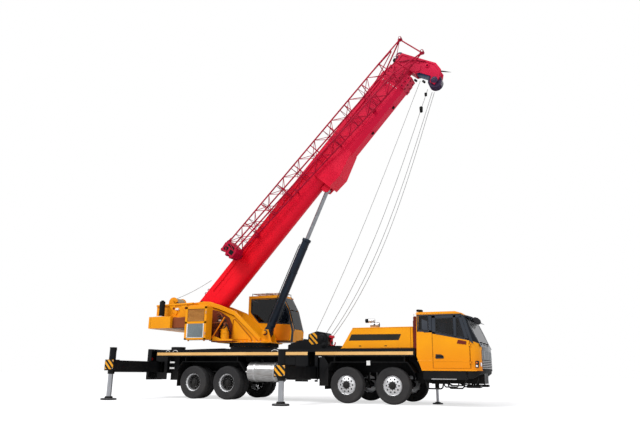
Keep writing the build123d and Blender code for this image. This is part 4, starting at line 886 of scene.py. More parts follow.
# ---- hook block on the deck ----------------------------------------------------------------------
# The block is parked in a black bracket with a striped cheek; beside it stands the red hook. Both
# are forged and turned steel, lashed down by straps over the wedge.
refinish(frame_black, "hook_block")
hook_red = painted("hook_red_paint", (0.55, 0.012, 0.03), (0.42, 0.01, 0.02), 0.4, 0.1)
near, far = -0.800, -0.360
cheek = [(0.362, 1.95), (0.395, 2.185), (0.640, 2.262), (0.690, 1.86), (0.442, 1.835)]
shapes = [(slab(cheek, near - 0.006, near + 0.002, bevel=0.002), hazard)]
for x, z, radius in ((0.84, 2.02, 0.165), (0.90, 1.82, 0.10)):
    boss = [(0, radius), (0.012, radius), (0.022, radius - 0.02), (0.024, radius * 0.45),
            (0.040, radius * 0.42), (0.046, radius * 0.3), (0.047, 0.002)]
    shapes += coated(frame_black, lathe(boss, (x, near, z), "y", 36, -1), lathe(boss, (x, far, z), "y", 36))
groove = [(-0.026, 0.19), (-0.022, 0.20), (0.0, 0.178), (0.022, 0.20), (0.026, 0.19), (0.026, 0.05),
          (-0.026, 0.05)]
shapes += coated(frame_black, *[lathe(groove, (0.70, y, 2.055), "y", 48) for y in (-0.71, -0.58, -0.45)])
hook_bow = arc(1.14, 1.89, 0.095, 0.095, 0.5 * np.pi, 2.1 * np.pi, 28)
shapes += coated(hook_red, side_tube(hook_bow, -0.58, np.linspace(0.040, 0.018, 28), 14),
                 side_tube([(1.10, 2.12), (1.12, 2.02)], -0.58, 0.045, 16),
                 box(1.04, 1.18, -0.66, -0.50, 2.05, 2.14, 0.015))
# low black chest beside it, with a lid, and lashing straps over the wedge
shapes += coated(frame_black, box(1.075, 1.50, -0.86, -0.30, 1.676, 1.775, 0.012),
                 box(1.065, 1.51, -0.87, -0.29, 1.770, 1.790, 0.008))
for x in (-0.30, -0.10, 0.10):
    z = 1.845 + (x + 0.42) * 0.352
    shapes += coated(guard_black,
                     box(x - 0.02, x + 0.02, near - 0.01, far + 0.01, z - 0.01, z + 0.012, 0.005))
piece("hook_details", "carrier", *shapes)

# ---- fittings along the deck's edges -------------------------------------------------------------
# Black plate skirts and boxes are bolted below the deck, with pale markers, lashing hooks of bent
# rod, step bars under the cab, hydraulic hoses on the deck and a coil of slings.
shapes = []
for side, x0 in ((-1, -0.24), (1, -0.30)):
    skirt = [(1.00, 0.52), (1.30, 0.52), (1.30, 1.20), (1.14, 1.44), (1.00, 1.44)]
    shapes += coated(frame_black, side_slab(skirt, side, 1.30, 1.365, 0.01),
                     side_slab(rectangle(x0, 0.14, 1.16, 1.44), side, 1.10, 1.36, 0.01))
    # pale markers and a marker plate between the wheels
    for x, z in ((1.02, 1.44), (0.33, 1.395))[:2 if side < 0 else 1]:
        marker = rectangle(x - 0.05, x + 0.05, z - 0.03, z + 0.03)
        shapes += coated(white, side_slab(marker, side, 1.362, 1.372, 0.002))
    shapes += coated(white, side_slab(rectangle(2.60, 2.72, 1.16, 1.30), side, 1.362, 1.372, 0.002))
    shapes += coated(frame_black, side_slab(rectangle(-4.97, -4.62, 0.62, 1.50), side, 1.12, 1.15, 0.008),
                     side_slab(rectangle(-5.83, -4.62, 1.285, 1.50), side, 0.88, 0.90),
                     side_box(-5.95, -5.84, side, 0.45, 1.30, 0.62, 1.71, 0.012))
    # step bars under the driver's cab, and a step plate on two hangers ahead of them
    bar = [(4.50, 0.80), (4.56, 0.65), (5.02, 0.65), (5.14, 0.59), (5.44, 0.59), (5.60, 0.78)]
    shapes += coated(frame_black, side_tube(bar, side * 1.02, 0.018, 10),
                     side_tube(bar, side * 0.84, 0.018, 10),
                     side_box(5.58, 5.98, side, 0.70, 1.00, 0.530, 0.605, 0.015),
                     side_tube([(5.50, 0.80), (5.66, 0.60)], side * 0.85, 0.022),
                     side_tube([(5.90, 0.82), (5.84, 0.60)], side * 0.85, 0.022))
    for x, wide in ((-4.98, 0.07), (-4.66, 0.10), (-0.62, 0.12)):
        shapes += coated(white, side_tube(arc(x, 1.600, wide, 0.050, 0, np.pi, 12), side * 1.385, 0.010))
for y in (-0.30, 0.0, 0.30):
    hose = [(-2.9, y, 1.70), (-3.3, y * 0.9, 1.74), (-3.9, y, 1.73), (-4.6, y * 1.1, 1.71), (-5.4, y, 1.69)]
    shapes += coated(rubber, tube(hose, 0.02))
for z in (1.695, 1.730, 1.765):
    loop = np.column_stack([-4.85 + 0.26 * np.cos(ring), -0.95 + 0.2 * np.sin(ring), np.full(33, z)])
    shapes += coated(rubber, tube(loop, 0.02))
piece("deck_edges", "carrier", *shapes)

# ---- superstructure ------------------------------------------------------------------------------
# Welded side plates with a raised top beam turn on a toothed ring. They carry a cooler cabinet with
# two louvred openings, pipework beside it, winch drums wound with rope, and a counterweight slab.
# the crane yellow in painted shade, shaded orange
orange = painted("shaded_orange_paint", (0.80, 0.225, 0.004), (0.72, 0.185, 0.004), 0.42, 0.05)
rope_tan = metal("rope_tan", (0.50, 0.42, 0.28), (0.28, 0.22, 0.14), 0.5, scale=40)
# brown painted shade behind the louvre's slats
louvre_shade_brown = painted("louvre_shade_brown_paint", (0.26, 0.085, 0.015), (0.20, 0.065, 0.012), 0.5)
slat_tan = painted("slat_tan_paint", (0.72, 0.36, 0.10), (0.62, 0.29, 0.07), 0.5)
slat_grey = painted("slat_grey_paint", (0.36, 0.41, 0.42), (0.28, 0.32, 0.33), 0.5)
grille_grey = painted("grille_grey_paint", (0.11, 0.13, 0.14), (0.08, 0.10, 0.11), 0.5)
# brown painted shade for the bay's pipes, the slew motor's cap and the block under the tail
deep_shade_brown = painted("deep_shade_brown_paint", (0.28, 0.07, 0.02), (0.20, 0.05, 0.015), 0.5, 0.1)
# dark orange painted shade lines along the side plates' edges
shade_line_orange = painted("painted_shade_line_orange", (0.42, 0.115, 0.004), (0.34, 0.09, 0.004), 0.5)
# red-brown painted shade for the bay's recess and the gussets' holes
recess_shade_red = painted("recess_shade_red_brown_paint", (0.20, 0.035, 0.012), (0.13, 0.025, 0.010), 0.55)
refinish(yellow, "turntable", "counterweight", "machinery_cabinet", "slew_drive", "winches")

# raised beam along the side plates' top edge, and the triangular stiffener below it
beam_top = np.array([(-4.60, 3.470), (-4.22, 3.498), (-3.95, 3.478), (-3.46, 3.330), (-2.82, 3.090),
                     (-2.19, 2.550), (-1.70, 2.112)])
beam_low = beam_top - np.array([0.03, 0.15])
stiffener = [(-2.90, 2.00), (-2.87, 2.76), (-2.80, 2.80), (-2.12, 2.12), (-2.05, 2.00)]
stiffener_face = [(-2.84, 2.06), (-2.82, 2.66), (-2.26, 2.12), (-2.22, 2.06)]
stiffener_shade_edge = [(-2.90, 1.96), (-2.875, 2.78), (-2.80, 2.80), (-2.11, 2.12), (-2.06, 1.98)]
bolt = lathe([(0, 0.018), (0.014, 0.018), (0.018, 0.012), (0.019, 0.001)], (0, 0, 0), "z", 6)
foot_boss = [(0, 0.17), (0.012, 0.17), (0.025, 0.155), (0.028, 0.10), (0.045, 0.09), (0.050, 0.07),
             (0.051, 0.002)]
shapes = []
for side in (-1, 1):
    shapes += coated(
        yellow, side_slab(np.concatenate([beam_top, beam_low[::-1]]), side, 0.398, 0.470, 0.01),
        side_slab(stiffener, side, 0.398, 0.425, 0.012), side_slab(stiffener_face, side, 0.425, 0.440, 0.01))
    # painted shade lines in dark orange along the stiffener's edge and under the top beam
    shapes += coated(shade_line_orange, side_tube(stiffener_shade_edge, side * 0.430, 0.016),
                     side_tube(beam_low - np.array([0.01, 0.012]), side * 0.404, 0.016))
    # floor flange with its bolts, over the slewing ring, and the boss of the boom's foot pin
    shapes += coated(yellow, side_box(-3.20, -1.45, side, 0.40, 0.56, 1.955, 1.985, 0.008))
    shapes += coated(bare_steel, repeat(bolt, [(x, side * 0.50, 1.985) for x in np.arange(-3.1, -1.5, 0.16)]))
    shapes += coated(yellow, lathe(foot_boss, (-4.02, side * 0.40, 3.195), "y", 48, side))
# slewing ring: a dark sleeve and a ring of teeth
slew_x = -2.2
sleeve = [(0, 0.84), (0, 0.885), (0.06, 0.885), (0.065, 0.865), (0.135, 0.865), (0.14, 0.84)]
shapes += coated(frame_black, lathe(sleeve, (slew_x, 0, 1.797), "z", 96, caps=False))
turn = np.arange(96) * 2 * np.pi / 96
teeth = np.column_stack([slew_x + 0.888 * np.cos(turn), 0.888 * np.sin(turn), np.full(96, 1.80)])
tooth = lathe([(0, 0.014), (0.12, 0.014), (0.122, 0.001)], (0, 0, 0), "z", 5)
shapes += coated(guard_black, repeat(tooth, teeth))
# tail: gussets on the outer frame with holes in red-brown painted shade, a rail, hoisting eyes and the tank
# below it, a block in brown painted shade on the right side and yellow on the left
for side in (-1, 1):
    for x in (-5.35, -4.80):
        gusset = [(x - 0.22, 3.34), (x + 0.05, 3.36), (x + 0.20, 3.10), (x + 0.12, 2.97), (x - 0.02, 3.12)]
        shapes += coated(yellow, side_slab(gusset, side, 0.738, 0.775, 0.008))
        hole = [(0, 0.05), (0.004, 0.05), (0.005, 0.002)]
        shapes += coated(recess_shade_red, lathe(hole, (x + 0.02, side * 0.775, 3.24), "y", 24, side))
    rail = [(-6.148, 3.33), (-4.47, 3.375), (-4.47, 3.44), (-6.148, 3.395)]
    shapes += coated(yellow, side_slab(rail, side, 0.735, 0.79, 0.01))
    for x in (-5.45, -4.30):
        eye = arc(x, 3.43, 0.06, 0.09, 0, np.pi, 12)
        shapes += coated(frame_black, side_tube(eye, side * 0.43, 0.016, 10))
    # the right block is brown for painted shade, the left one is yellow
    shapes += coated(deep_shade_brown if side < 0 else yellow,
                     side_box(-5.08, -4.46, side, 0.42, 1.12, 2.47, 2.86, 0.02))
canister = [(0, 0.098), (0.02, 0.105), (0.54, 0.105), (0.56, 0.098), (0.565, 0.06), (0.60, 0.055),
            (0.605, 0.002)]
shapes += coated(gap_black, lathe(canister, (-5.70, -1.0, 2.93), "z", 32))
shapes += coated(white, box(-5.90, -5.60, -1.13, -0.88, 2.893, 2.935),
                 box(-5.24, -5.10, -0.80, -0.74, 3.17, 3.25))
rear_lamp = [(0, 0.045), (0.02, 0.045), (0.032, 0.03), (0.034, 0.002)]
for y in (-1.02, 1.02):
    for z, finish in ((2.60, gap_black), (2.76, lamp_red)):
        shapes += coated(finish, lathe(rear_lamp, (-6.148, y, z), "x", 20, -1))
for side in (-1, 1):
    shapes += coated(gap_black, side_slab(rectangle(-5.99, -5.985, 2.47, 2.89), side, 1.249, 1.254, 0.001))
piece("superstructure_plates", "superstructure", *shapes)

# cooler cabinet: raised frame, upper slats, lower grille between pale bars
face = -1.25
x0, x1 = -4.42, -3.49
in0, in1 = x0 + 0.1, x1 - 0.1


def on_cabinet(a, b, c, d, back, front, bevel):
    """A rectangular plate on the cabinet's side, between two distances from its face."""
    return slab(rectangle(a, b, c, d), face + back, face + front, bevel=bevel)


shapes = coated(yellow, *[on_cabinet(*bar, -0.018, 0.002, 0.006) for bar in (
    (x0, x1, 3.13, 3.215), (x0, x1, 2.03, 2.09), (x0, x1, 2.60, 2.68), (x0, in0, 2.03, 3.215),
    (in1, x1, 2.03, 3.215))])
# painted shade in brown behind the upper slats
shapes += coated(louvre_shade_brown, on_cabinet(in0, in1, 2.68, 3.13, -0.002, 0.001, 0.0005))
shapes += coated(grille_grey, on_cabinet(in0, in1, 2.09, 2.60, -0.002, 0.001, 0.0005))
slat = on_cabinet(x0 + 0.12, x1 - 0.12, -0.012, 0.006, -0.016, -0.002, 0.004)
shapes += coated(slat_tan, repeat(slat, [(0, 0, z) for z in np.arange(2.71, 3.12, 0.042)]))
shapes += coated(slat_grey, repeat(slat, [(0, 0, z) for z in np.arange(2.12, 2.59, 0.036)]))
shapes += coated(white, *[on_cabinet(x - 0.022, x + 0.022, 2.09, 2.60, -0.020, -0.001, 0.004)
                          for x in (x0 + 0.115, x1 - 0.115)],
                 on_cabinet(in0, in1, 2.095, 2.115, -0.020, -0.001, 0.004))
hinge = x1 - 0.03, face - 0.03
shapes += coated(bare_steel, *[tube([(*hinge, z - 0.05), (*hinge, z + 0.05)], 0.010) for z in (2.25, 3.0)])
cowl = [(-4.40, 3.21), (-3.52, 3.21), (-3.62, 3.28), (-4.30, 3.28)]
shapes += coated(yellow, slab(cowl, -1.20, -0.92, bevel=0.015),
                 *[tube([(x, -1.15, 2.03), (x, -1.15, 1.985)], 0.03, 12) for x in (-4.30, -3.62)])
piece("cabinet_details", "superstructure", *shapes)

# pipework bay between the cabinet and the slew drive, its back and floor plates in red-brown painted shade;
# row: finish, outline, y range, bevel
shapes = []
for finish, outline, y0, y1, bevel in (
        (recess_shade_red, [(-3.89, 2.03), (-2.95, 2.03), (-2.92, 2.60), (-3.05, 2.86), (-3.46, 3.10), (-3.89, 3.20)],
         -0.425, -0.405, 0.004),
        (yellow, [(-3.47, 1.97), (-2.62, 1.97), (-2.62, 2.06), (-3.10, 2.06), (-3.47, 2.20)],
         -0.86, -0.82, 0.008),
        (recess_shade_red, [(-3.47, 2.06), (-3.30, 2.06), (-3.30, 2.34), (-3.47, 2.44)], -0.80, -0.60, 0.01),
        (recess_shade_red, [(-3.49, 1.96), (-2.60, 1.96), (-2.60, 2.0), (-3.49, 2.0)], -0.90, -0.40, 0.01)):
    shapes += coated(finish, slab(outline, y0, y1, bevel=bevel))
# a pipe in shaded orange and one in brown, both painted shade
shapes += coated(orange, side_tube([(-3.48, 2.10), (-2.98, 2.84)], -0.86, 0.026, 12))
shapes += coated(deep_shade_brown, side_tube([(-3.49, 2.64), (-3.10, 2.66)], -0.84, 0.026, 12))
t = np.linspace(0, 1, 16)
# row: start height, end height, bulge, place across, radius, finish
# the brown pipes are in painted shade
for z0, z1, bulge, y, radius, finish in (
        (3.00, 2.20, 0.16, -0.62, 0.022, deep_shade_brown), (2.88, 2.12, 0.20, -0.56, 0.020, rubber),
        (2.74, 2.40, -0.18, -0.66, 0.018, deep_shade_brown), (2.60, 2.70, 0.22, -0.72, 0.024, rubber),
        (2.46, 2.55, -0.16, -0.70, 0.020, rubber), (2.30, 2.62, 0.12, -0.60, 0.020, deep_shade_brown)):
    pipe = np.column_stack([-3.48 + 0.48 * t, y + 0.05 * np.sin(2 * np.pi * t),
                            z0 + (z1 - z0) * t ** 1.5 + bulge * np.sin(np.pi * t)])
    shapes += coated(finish, tube(pipe, radius, 10))
shapes += coated(gap_black, box(-3.30, -3.12, -0.80, -0.62, 2.52, 2.70, 0.015))
shapes += coated(bare_steel, box(-3.26, -3.16, -0.83, -0.66, 2.70, 2.76, 0.01))
# rings and cap of the slew motor, and its hose
motor_x, motor_y = -3.08, -0.64
for z, radius in ((2.04, 0.168), (2.30, 0.162), (2.415, 0.160)):
    collar = [(-0.02, 0.150), (-0.015, radius), (0.015, radius), (0.02, 0.150)]
    shapes += coated(yellow, lathe(collar, (motor_x, motor_y, z), "z", 40, caps=False))
cap = [(0, 0.090), (0.02, 0.094), (0.12, 0.094), (0.14, 0.080), (0.145, 0.03), (0.17, 0.025), (0.172, 0.002)]
# the motor's cap is in brown painted shade
shapes += coated(deep_shade_brown, lathe(cap, (motor_x, motor_y, 2.52), "z", 32))
hose = [(-3.02, -0.70, 2.62), (-2.94, -0.74, 2.56), (-2.88, -0.72, 2.40), (-2.86, -0.60, 2.25)]
shapes += coated(rubber, tube(hose, 0.022, 10))
piece("pipework", "superstructure", *shapes)

# rope on the winch drums: the drum's profile follows the crests of its turns
shapes = []
t = np.linspace(-0.255, 0.255, 256)
for x, z, radius in ((-5.75, 3.53, 0.150), (-4.95, 3.20, 0.200)):
    crest = radius + 0.026 + 0.006 * np.abs(np.sin(t * np.pi / 0.018))
    shapes += coated(rope_tan, lathe(np.column_stack([t, crest]), (x, 0, z), "y", 40))
    hub = [(0, 0.075), (0.02, 0.075), (0.03, 0.06), (0.031, 0.002)]
    shapes += coated(frame_black, *[lathe(hub, (x, side * 0.30, z), "y", 24, side) for side in (-1, 1)])
piece("winch_ropes", "superstructure", *shapes)

# ---- operator's cab ------------------------------------------------------------------------------
# Tinted panes in a yellow sheet-steel shell, a dark front frame, a rounded door panel low on the side in
# shaded orange painted shade, a guard of bars on the roof, and a padded seat with two control stands.
refinish(yellow, "operator_cab", "operator_door")
window = [(-2.625, 3.625), (-2.625, 3.115), (-2.275, 2.735), (-0.95, 2.655), (-0.92, 2.705), (-1.10, 3.155),
          (-1.36, 3.625)]
front_frame = [(-1.335, 3.735), (-1.022, 3.168), (-0.808, 2.402), (-0.838, 2.003), (-0.93, 2.003),
               (-0.895, 2.402), (-1.105, 3.150), (-1.42, 3.735)]
low_panel = [(-1.60, 2.06), (-1.66, 2.12), (-1.66, 2.62), (-1.60, 2.66), (-1.02, 2.62), (-0.955, 2.55),
             (-0.965, 2.14), (-1.02, 2.07)]
shapes = [(slab(window, 0.440, 0.446, bevel=0.001), glass),
          (side_tube(walk_round(window), 0.428, 0.018), trim_dark)]
shapes += coated(pillar_dark, slab(front_frame, 0.424, 0.432, bevel=0.002),
                 slab(front_frame, 1.288, 1.296, bevel=0.002))
# the low panel is yellow in painted shade
shapes += coated(orange, slab(low_panel, 0.412, 0.434, bevel=0.01))
shapes += coated(trim_dark, slab(rectangle(-2.10, -0.84, 2.015, 2.05), 0.405, 0.434, bevel=0.006))
shapes += coated(yellow, slab(rectangle(-2.74, -1.42, 3.60, 3.735), 0.424, 0.433))
# two front panes along the broken front line, between posts; row: top, foot, the pane's share of the line
for p, q, start, end in ((front_frame[0], front_frame[1], 0.17, 0.97),
                         (front_frame[1], front_frame[2], 0.03, 0.93)):
    p, q = np.array(p), np.array(q)
    low, high = p + (q - p) * start, p + (q - p) * end
    normal = np.array([q[1] - p[1], -(q[0] - p[0])]) / np.linalg.norm(q - p)
    sheet = [low - normal * 0.016, high - normal * 0.016, high - normal * 0.022, low - normal * 0.022]
    post = [p + normal * -0.004, q + normal * -0.004, q - normal * 0.012, p - normal * 0.012]
    shapes += coated(glass, slab(sheet, 0.52, 1.20, bevel=0.001))
    shapes += coated(pillar_dark, slab(post, 0.445, 0.525, bevel=0.001),
                     slab(post, 1.195, 1.275, bevel=0.001))
left_pane = [(-1.250, 3.42), (-1.250, 2.71), (-0.945, 2.71), (-1.092, 3.145)]
shapes += coated(glass, box(-2.738, -2.732, 0.53, 1.19, 2.81, 3.59, 0.001),
                 slab(left_pane, 1.268, 1.274, bevel=0.001))
# roof guard: bars on posts; then the wiper, the grab rail, a lamp and the control stands
shapes += coated(bare_steel, *[side_tube([(-2.62, 3.83), (-1.35, 3.83)], y, 0.010)
                               for y in np.linspace(0.50, 1.22, 6)])
for x in (-2.62, -2.0, -1.35):
    shapes += coated(frame_black, tube([(x, 0.47, 3.83), (x, 1.25, 3.83)], 0.012),
                     *[tube([(x, y, 3.73), (x, y, 3.83)], 0.012) for y in (0.48, 1.24)])
shapes += coated(gap_black, tube([(-0.90, 0.86, 2.50), (-1.02, 0.80, 2.95), (-1.10, 0.70, 3.20)], 0.010))
grab = [(-1.24, 0.44, 3.55), (-1.16, 0.40, 3.56), (-0.98, 0.40, 3.16), (-0.86, 0.40, 2.75),
        (-0.88, 0.43, 2.70)]
shapes += coated(trim_dark, tube(grab, 0.014, 10))
work_lamp = [(0, 0.055), (0.05, 0.06), (0.07, 0.05), (0.072, 0.002)]
shapes += coated(lamp_clear, lathe(work_lamp, (-1.42, 0.60, 3.70), "x", 24))
knob = [(0, 0.012), (0.02, 0.028), (0.05, 0.022), (0.06, 0.002)]
for y in (0.60, 1.12):
    shapes += coated(trim_dark, box(-1.72, -1.42, y - 0.05, y + 0.05, 2.06, 2.70, 0.02))
    shapes += coated(gap_black, tube([(-1.50, y, 2.70), (-1.47, y, 2.86)], 0.014, 10),
                     lathe(knob, (-1.47, y, 2.86), "z", 16))
piece("operator_cab_details", "superstructure", *shapes)
door_pull = [(-1.42, 1.345, 2.40), (-1.42, 1.36, 2.43), (-1.42, 1.36, 2.65), (-1.42, 1.345, 2.68)]
piece("operator_door_details", "operator_door",
      (slab(rectangle(-2.05, -1.40, 2.76, 3.55), 1.310, 1.316, bevel=0.001), glass),
      (tube(door_pull, 0.010), trim_dark))
seat = piece("operator_cushions", "superstructure",
             *coated(seat_cloth, cushion(-2.35, -1.85, 0.64, 1.08, 2.34, 2.50),
                     cushion(-2.46, -2.33, 0.65, 1.07, 2.48, 3.15, 0.12)),
             (box(-2.25, -1.95, 0.72, 1.00, 2.06, 2.36, 0.03), trim_dark))
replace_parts(seat, "operator_seat")

# ---- lift cylinder -------------------------------------------------------------------------------
# A turned steel barrel in dark slate with end rings and a gland, a hard-chromed rod, and hoses
# clipped along the barrel. It turns on a pin between its foot plates.
slate = painted("cylinder_slate_paint", (0.010, 0.020, 0.036), (0.007, 0.012, 0.022), 0.3, 0.15)
chrome = metal("hard_chrome", (0.36, 0.37, 0.39), (0.26, 0.27, 0.29), 0.2, scale=8)
refinish(slate, "lift_cylinder_barrel")
refinish(chrome, "lift_cylinder_rod")


def laid(shape, angle, foot_x, foot_z):
    """A shape drawn flat (along, across, up), laid at an angle from a foot point."""
    points, faces = shape
    s, y, n = points.T
    c, d = math.cos(math.radians(angle)), math.sin(math.radians(angle))
    return np.column_stack([foot_x + s * c - n * d, y, foot_z + s * d + n * c]), faces


cylinder_lean, cylinder_x, cylinder_z = 65.9675, -1.64, 2.31
shapes = []
for s in (0.30, 1.2, 2.4, 3.35):
    hoop = [(-0.03, 0.146), (-0.02, 0.156), (0.02, 0.156), (0.03, 0.146)]
    shapes += coated(slate, lathe(hoop, (s, 0, 0), "x", 48, caps=False))
gland = [(3.60, 0.146), (3.61, 0.165), (3.70, 0.165), (3.715, 0.155), (3.72, 0.105)]
shapes += coated(slate, lathe(gland, (0, 0, 0), "x", 48, caps=False))
over = [(0.35, 0.16), (0.5, 0.185), (1.8, 0.185), (3.3, 0.185), (3.45, 0.165)]
beside = [(0.40, -0.15, 0.02), (0.55, -0.185, 0.02), (2.2, -0.185, 0.02), (2.35, -0.15, 0.02)]
shapes += coated(rubber, side_tube(over, -0.05, 0.016, 10), side_tube(over, 0.05, 0.016, 10),
                 tube(beside, 0.014, 10))
shapes = [(laid(shape, cylinder_lean, cylinder_x, cylinder_z), finish) for shape, finish in shapes]
pin_cap = [(0, 0.095), (0.02, 0.095), (0.03, 0.07), (0.031, 0.002)]
shapes += coated(slate, *[lathe(pin_cap, (cylinder_x, side * 0.216, cylinder_z), "y", 24, side)
                          for side in (-1, 1)])
piece("cylinder_details", "lift_barrel", *shapes)

# ---- boom sections -------------------------------------------------------------------------------
# Box sections of welded plate with collars, wear-pad screws round the mouths, a pipe run and small
# lugs on the side; s runs along the boom from its foot pin and n is square to it, upwards.
boom_angle = 47.8
boom_way = (math.cos(math.radians(boom_angle)), 0.0, math.sin(math.radians(boom_angle)))
crimson = (0.66, 0.005, 0.048)
red = painted("boom_red_paint", (0.86, 0.003, 0.014), (0.76, 0.002, 0.012), 0.38)
overlaid(red, crimson, (boom_way, 2.0, 9.5))
red_crimson = painted("boom_crimson_paint", (0.66, 0.005, 0.052), (0.54, 0.004, 0.044), 0.40)
red_deep = painted("boom_deep_red_paint", (0.30, 0.003, 0.030), (0.20, 0.002, 0.022), 0.42)
refinish(red, "boom_base_section")
refinish(red_crimson, "boom_section_2", "boom_section_3", "boom_section_4", "boom_section_5", "boom_head")


def raised(shapes):
    """Shapes drawn along the boom (s, y, n), laid at its angle from its foot pin."""
    return [(laid(shape, boom_angle, -4.02, 3.195), finish) for shape, finish in shapes]


web, sleeve = 0.290, 0.309   # the base section's side, and its front sleeve's side
screw = [(0, 0.018), (0.010, 0.018), (0.013, 0.012), (0.014, 0.001)]
shapes = []
for side in (-1, 1):
    # long weld bead, pipe run with clips, and reinforcing straps round the root
    shapes += coated(red, side_tube([(0.1, 0.20), (7.6, 0.20)], side * web, 0.008),
                     side_tube([(0.6, 0.40), (7.6, 0.40)], side * (web + 0.02), 0.014),
                     side_tube([(7.75, 0.40), (10.8, 0.40)], side * 0.33, 0.014))
    shapes += coated(red, *[side_slab(rectangle(s - 0.03, s + 0.03, 0.36, 0.44), side, web, web + 0.04, 0.006)
                            for s in (1.2, 2.4, 3.6, 4.8, 6.0, 7.2)])
    shapes += coated(red, *[side_slab(rectangle(s0, s1, -0.08, 0.58), side, web - 0.002, web + 0.016, 0.006)
                            for s0, s1 in ((0.25, 0.45), (2.20, 2.34), (4.9, 5.04))])
    # dark lugs that the stowed jib's clamps sit on
    lug = [(2.22, 0.33), (2.38, 0.33), (2.36, 0.42), (2.24, 0.42)]
    shapes += coated(red_deep, side_slab(lug, side, web, web + 0.06, 0.01))
    # the front half's flange line and its screws
    shapes += coated(red, *[side_slab(rectangle(s0, s1, -0.40, 0.555), side, sleeve, 0.322, 0.005)
                            for s0, s1 in ((7.72, 7.84), (10.72, 10.94))])
    shapes += coated(bare_steel, repeat(lathe(screw, (0, side * 0.322, 0), "y", 6, side),
                                        [(10.83, 0, n) for n in np.linspace(-0.32, 0.48, 7)]))
    shapes += coated(red, side_tube([(7.8, -0.22), (10.7, -0.22)], side * 0.312, 0.010))
# shackles on the root, eyes along the top, and pegs under the mouth
for s in (0.30, 0.48):
    shapes += coated(red_deep, side_tube(arc(s, 0.585, 0.05, 0.07, 0, np.pi, 10), -0.24, 0.014))
for s in np.arange(3.0, 10.8, 1.5):
    eye = [(s - 0.05, 0.575), (s + 0.05, 0.575), (s + 0.03, 0.66), (s - 0.03, 0.66)]
    shapes += coated(red, slab(eye, -0.03, 0.03, bevel=0.006))
shapes += coated(gap_black, *[box(s, s + 0.10, -0.05, 0.05, -0.60, -0.55, 0.01) for s in (9.0, 10.2)])
piece("boom_base_details", "boom", *raised(shapes))

# wear-pad adjusters and stub rollers at each inner section's mouth
for index in (2, 3, 4):
    s = 10.95 + 0.18 * (index - 1) - 0.09
    half_y = 0.29 - 0.025 * (index - 1) + 0.03
    shapes = []
    for side in (-1, 1):
        pad = [(-0.012, 0.030), (0.010, 0.030), (0.016, 0.022), (0.017, 0.001)]
        shapes += coated(red_deep, repeat(lathe(pad, (0, side * half_y, 0), "y", 16, side),
                                          [(s, 0, n) for n in (-0.42, -0.14, 0.16, 0.42)]))
    roller = [(-0.025, 0.002), (-0.025, 0.028), (0.025, 0.028), (0.025, 0.002)]
    shapes += coated(gap_black, *[lathe(roller, (s - 0.02, y, -0.565 + 0.014 * index), "y", 16)
                                  for y in (-0.16, 0.16)])
    piece("mouth_details_" + str(index), "boom_section_" + str(index), *raised(shapes))

# ---- boom head -----------------------------------------------------------------------------------
# Two cut plates with doubled edges, a dark-blue plate between them, a guide sheave on its bracket,
# four grooved hoist sheaves in a purple-grey, a rope guard, and a spike for the anemometer.
sheave_dark = painted("sheave_dark_paint", (0.060, 0.030, 0.085), (0.035, 0.020, 0.05), 0.4, 0.1)
head_blue = painted("head_blue_paint", (0.008, 0.045, 0.14), (0.006, 0.03, 0.09), 0.35, 0.1)
refinish(sheave_dark, "head_sheaves")
sheave_s, sheave_n = 11.84, -1.29
rim_line = [(11.69, 0.455), (12.05, 0.455), (12.165, -0.07), (12.372, -0.90), (12.275, -1.215),
            (12.01, -1.385), (11.71, -1.385), (11.71, -1.315), (11.99, -1.315), (12.215, -1.165),
            (12.300, -0.89), (12.095, -0.09), (11.99, 0.385), (11.69, 0.385)]
pin_boss = [(0, 0.085), (0.02, 0.085), (0.03, 0.07), (0.032, 0.036)]
axle_boss = [(0, 0.13), (0.015, 0.13), (0.03, 0.11), (0.034, 0.06), (0.05, 0.055), (0.052, 0.002)]
shapes = []
for side in (-1, 1):
    shapes += coated(red_crimson, side_slab(rim_line, side, 0.228, 0.250, 0.006),
                     lathe(pin_boss, (12.15, side * 0.230, -0.70), "y", 32, side, caps=False))
    shapes += coated(sheave_dark, lathe(axle_boss, (sheave_s, side * 0.230, sheave_n), "y", 32, side))
    for doubler in ([(11.70, -0.30), (11.95, -0.36), (12.02, -0.52), (11.86, -0.60), (11.72, -0.50)],
                    [(11.95, 0.10), (12.06, 0.14), (12.14, -0.34), (12.05, -0.40)]):
        shapes += coated(red_crimson, side_slab(doubler, side, 0.228, 0.250, 0.006))
    shapes += coated(red_deep,
                     side_tube([(11.72, 0.32), (12.00, -0.05), (12.24, -0.55)], side * 0.262, 0.016))
blue_plate = [(11.72, -0.52), (11.80, -0.62), (11.92, -1.05), (11.90, -1.10), (11.86, -1.06), (11.76, -0.64)]
shapes += coated(head_blue, slab(blue_plate, -0.198, 0.198))
front_plate = [(12.12, -0.10), (12.33, -0.90), (12.36, -0.90), (12.15, -0.08)]
shapes += coated(red_deep, slab(front_plate, -0.198, 0.198))
spike = [(12.26, -1.20), (12.33, -1.36), (12.42, -1.56)]
shapes += coated(gap_black, side_tube(spike, -0.10, np.array([0.026, 0.020, 0.004]), 10))
shapes += coated(sheave_dark, *[tube([(12.02, y - 0.001, -1.375), (12.02, y + 0.001, -1.44)], 0.018)
                                for y in (-0.23, 0.0, 0.23)])
rope_guard = arc(sheave_s, sheave_n, 0.245, -0.245, -0.2, 1.5, 18)
shapes += coated(bare_steel, *[side_tube(rope_guard, y, 0.010) for y in (-0.09, 0.0, 0.09)])
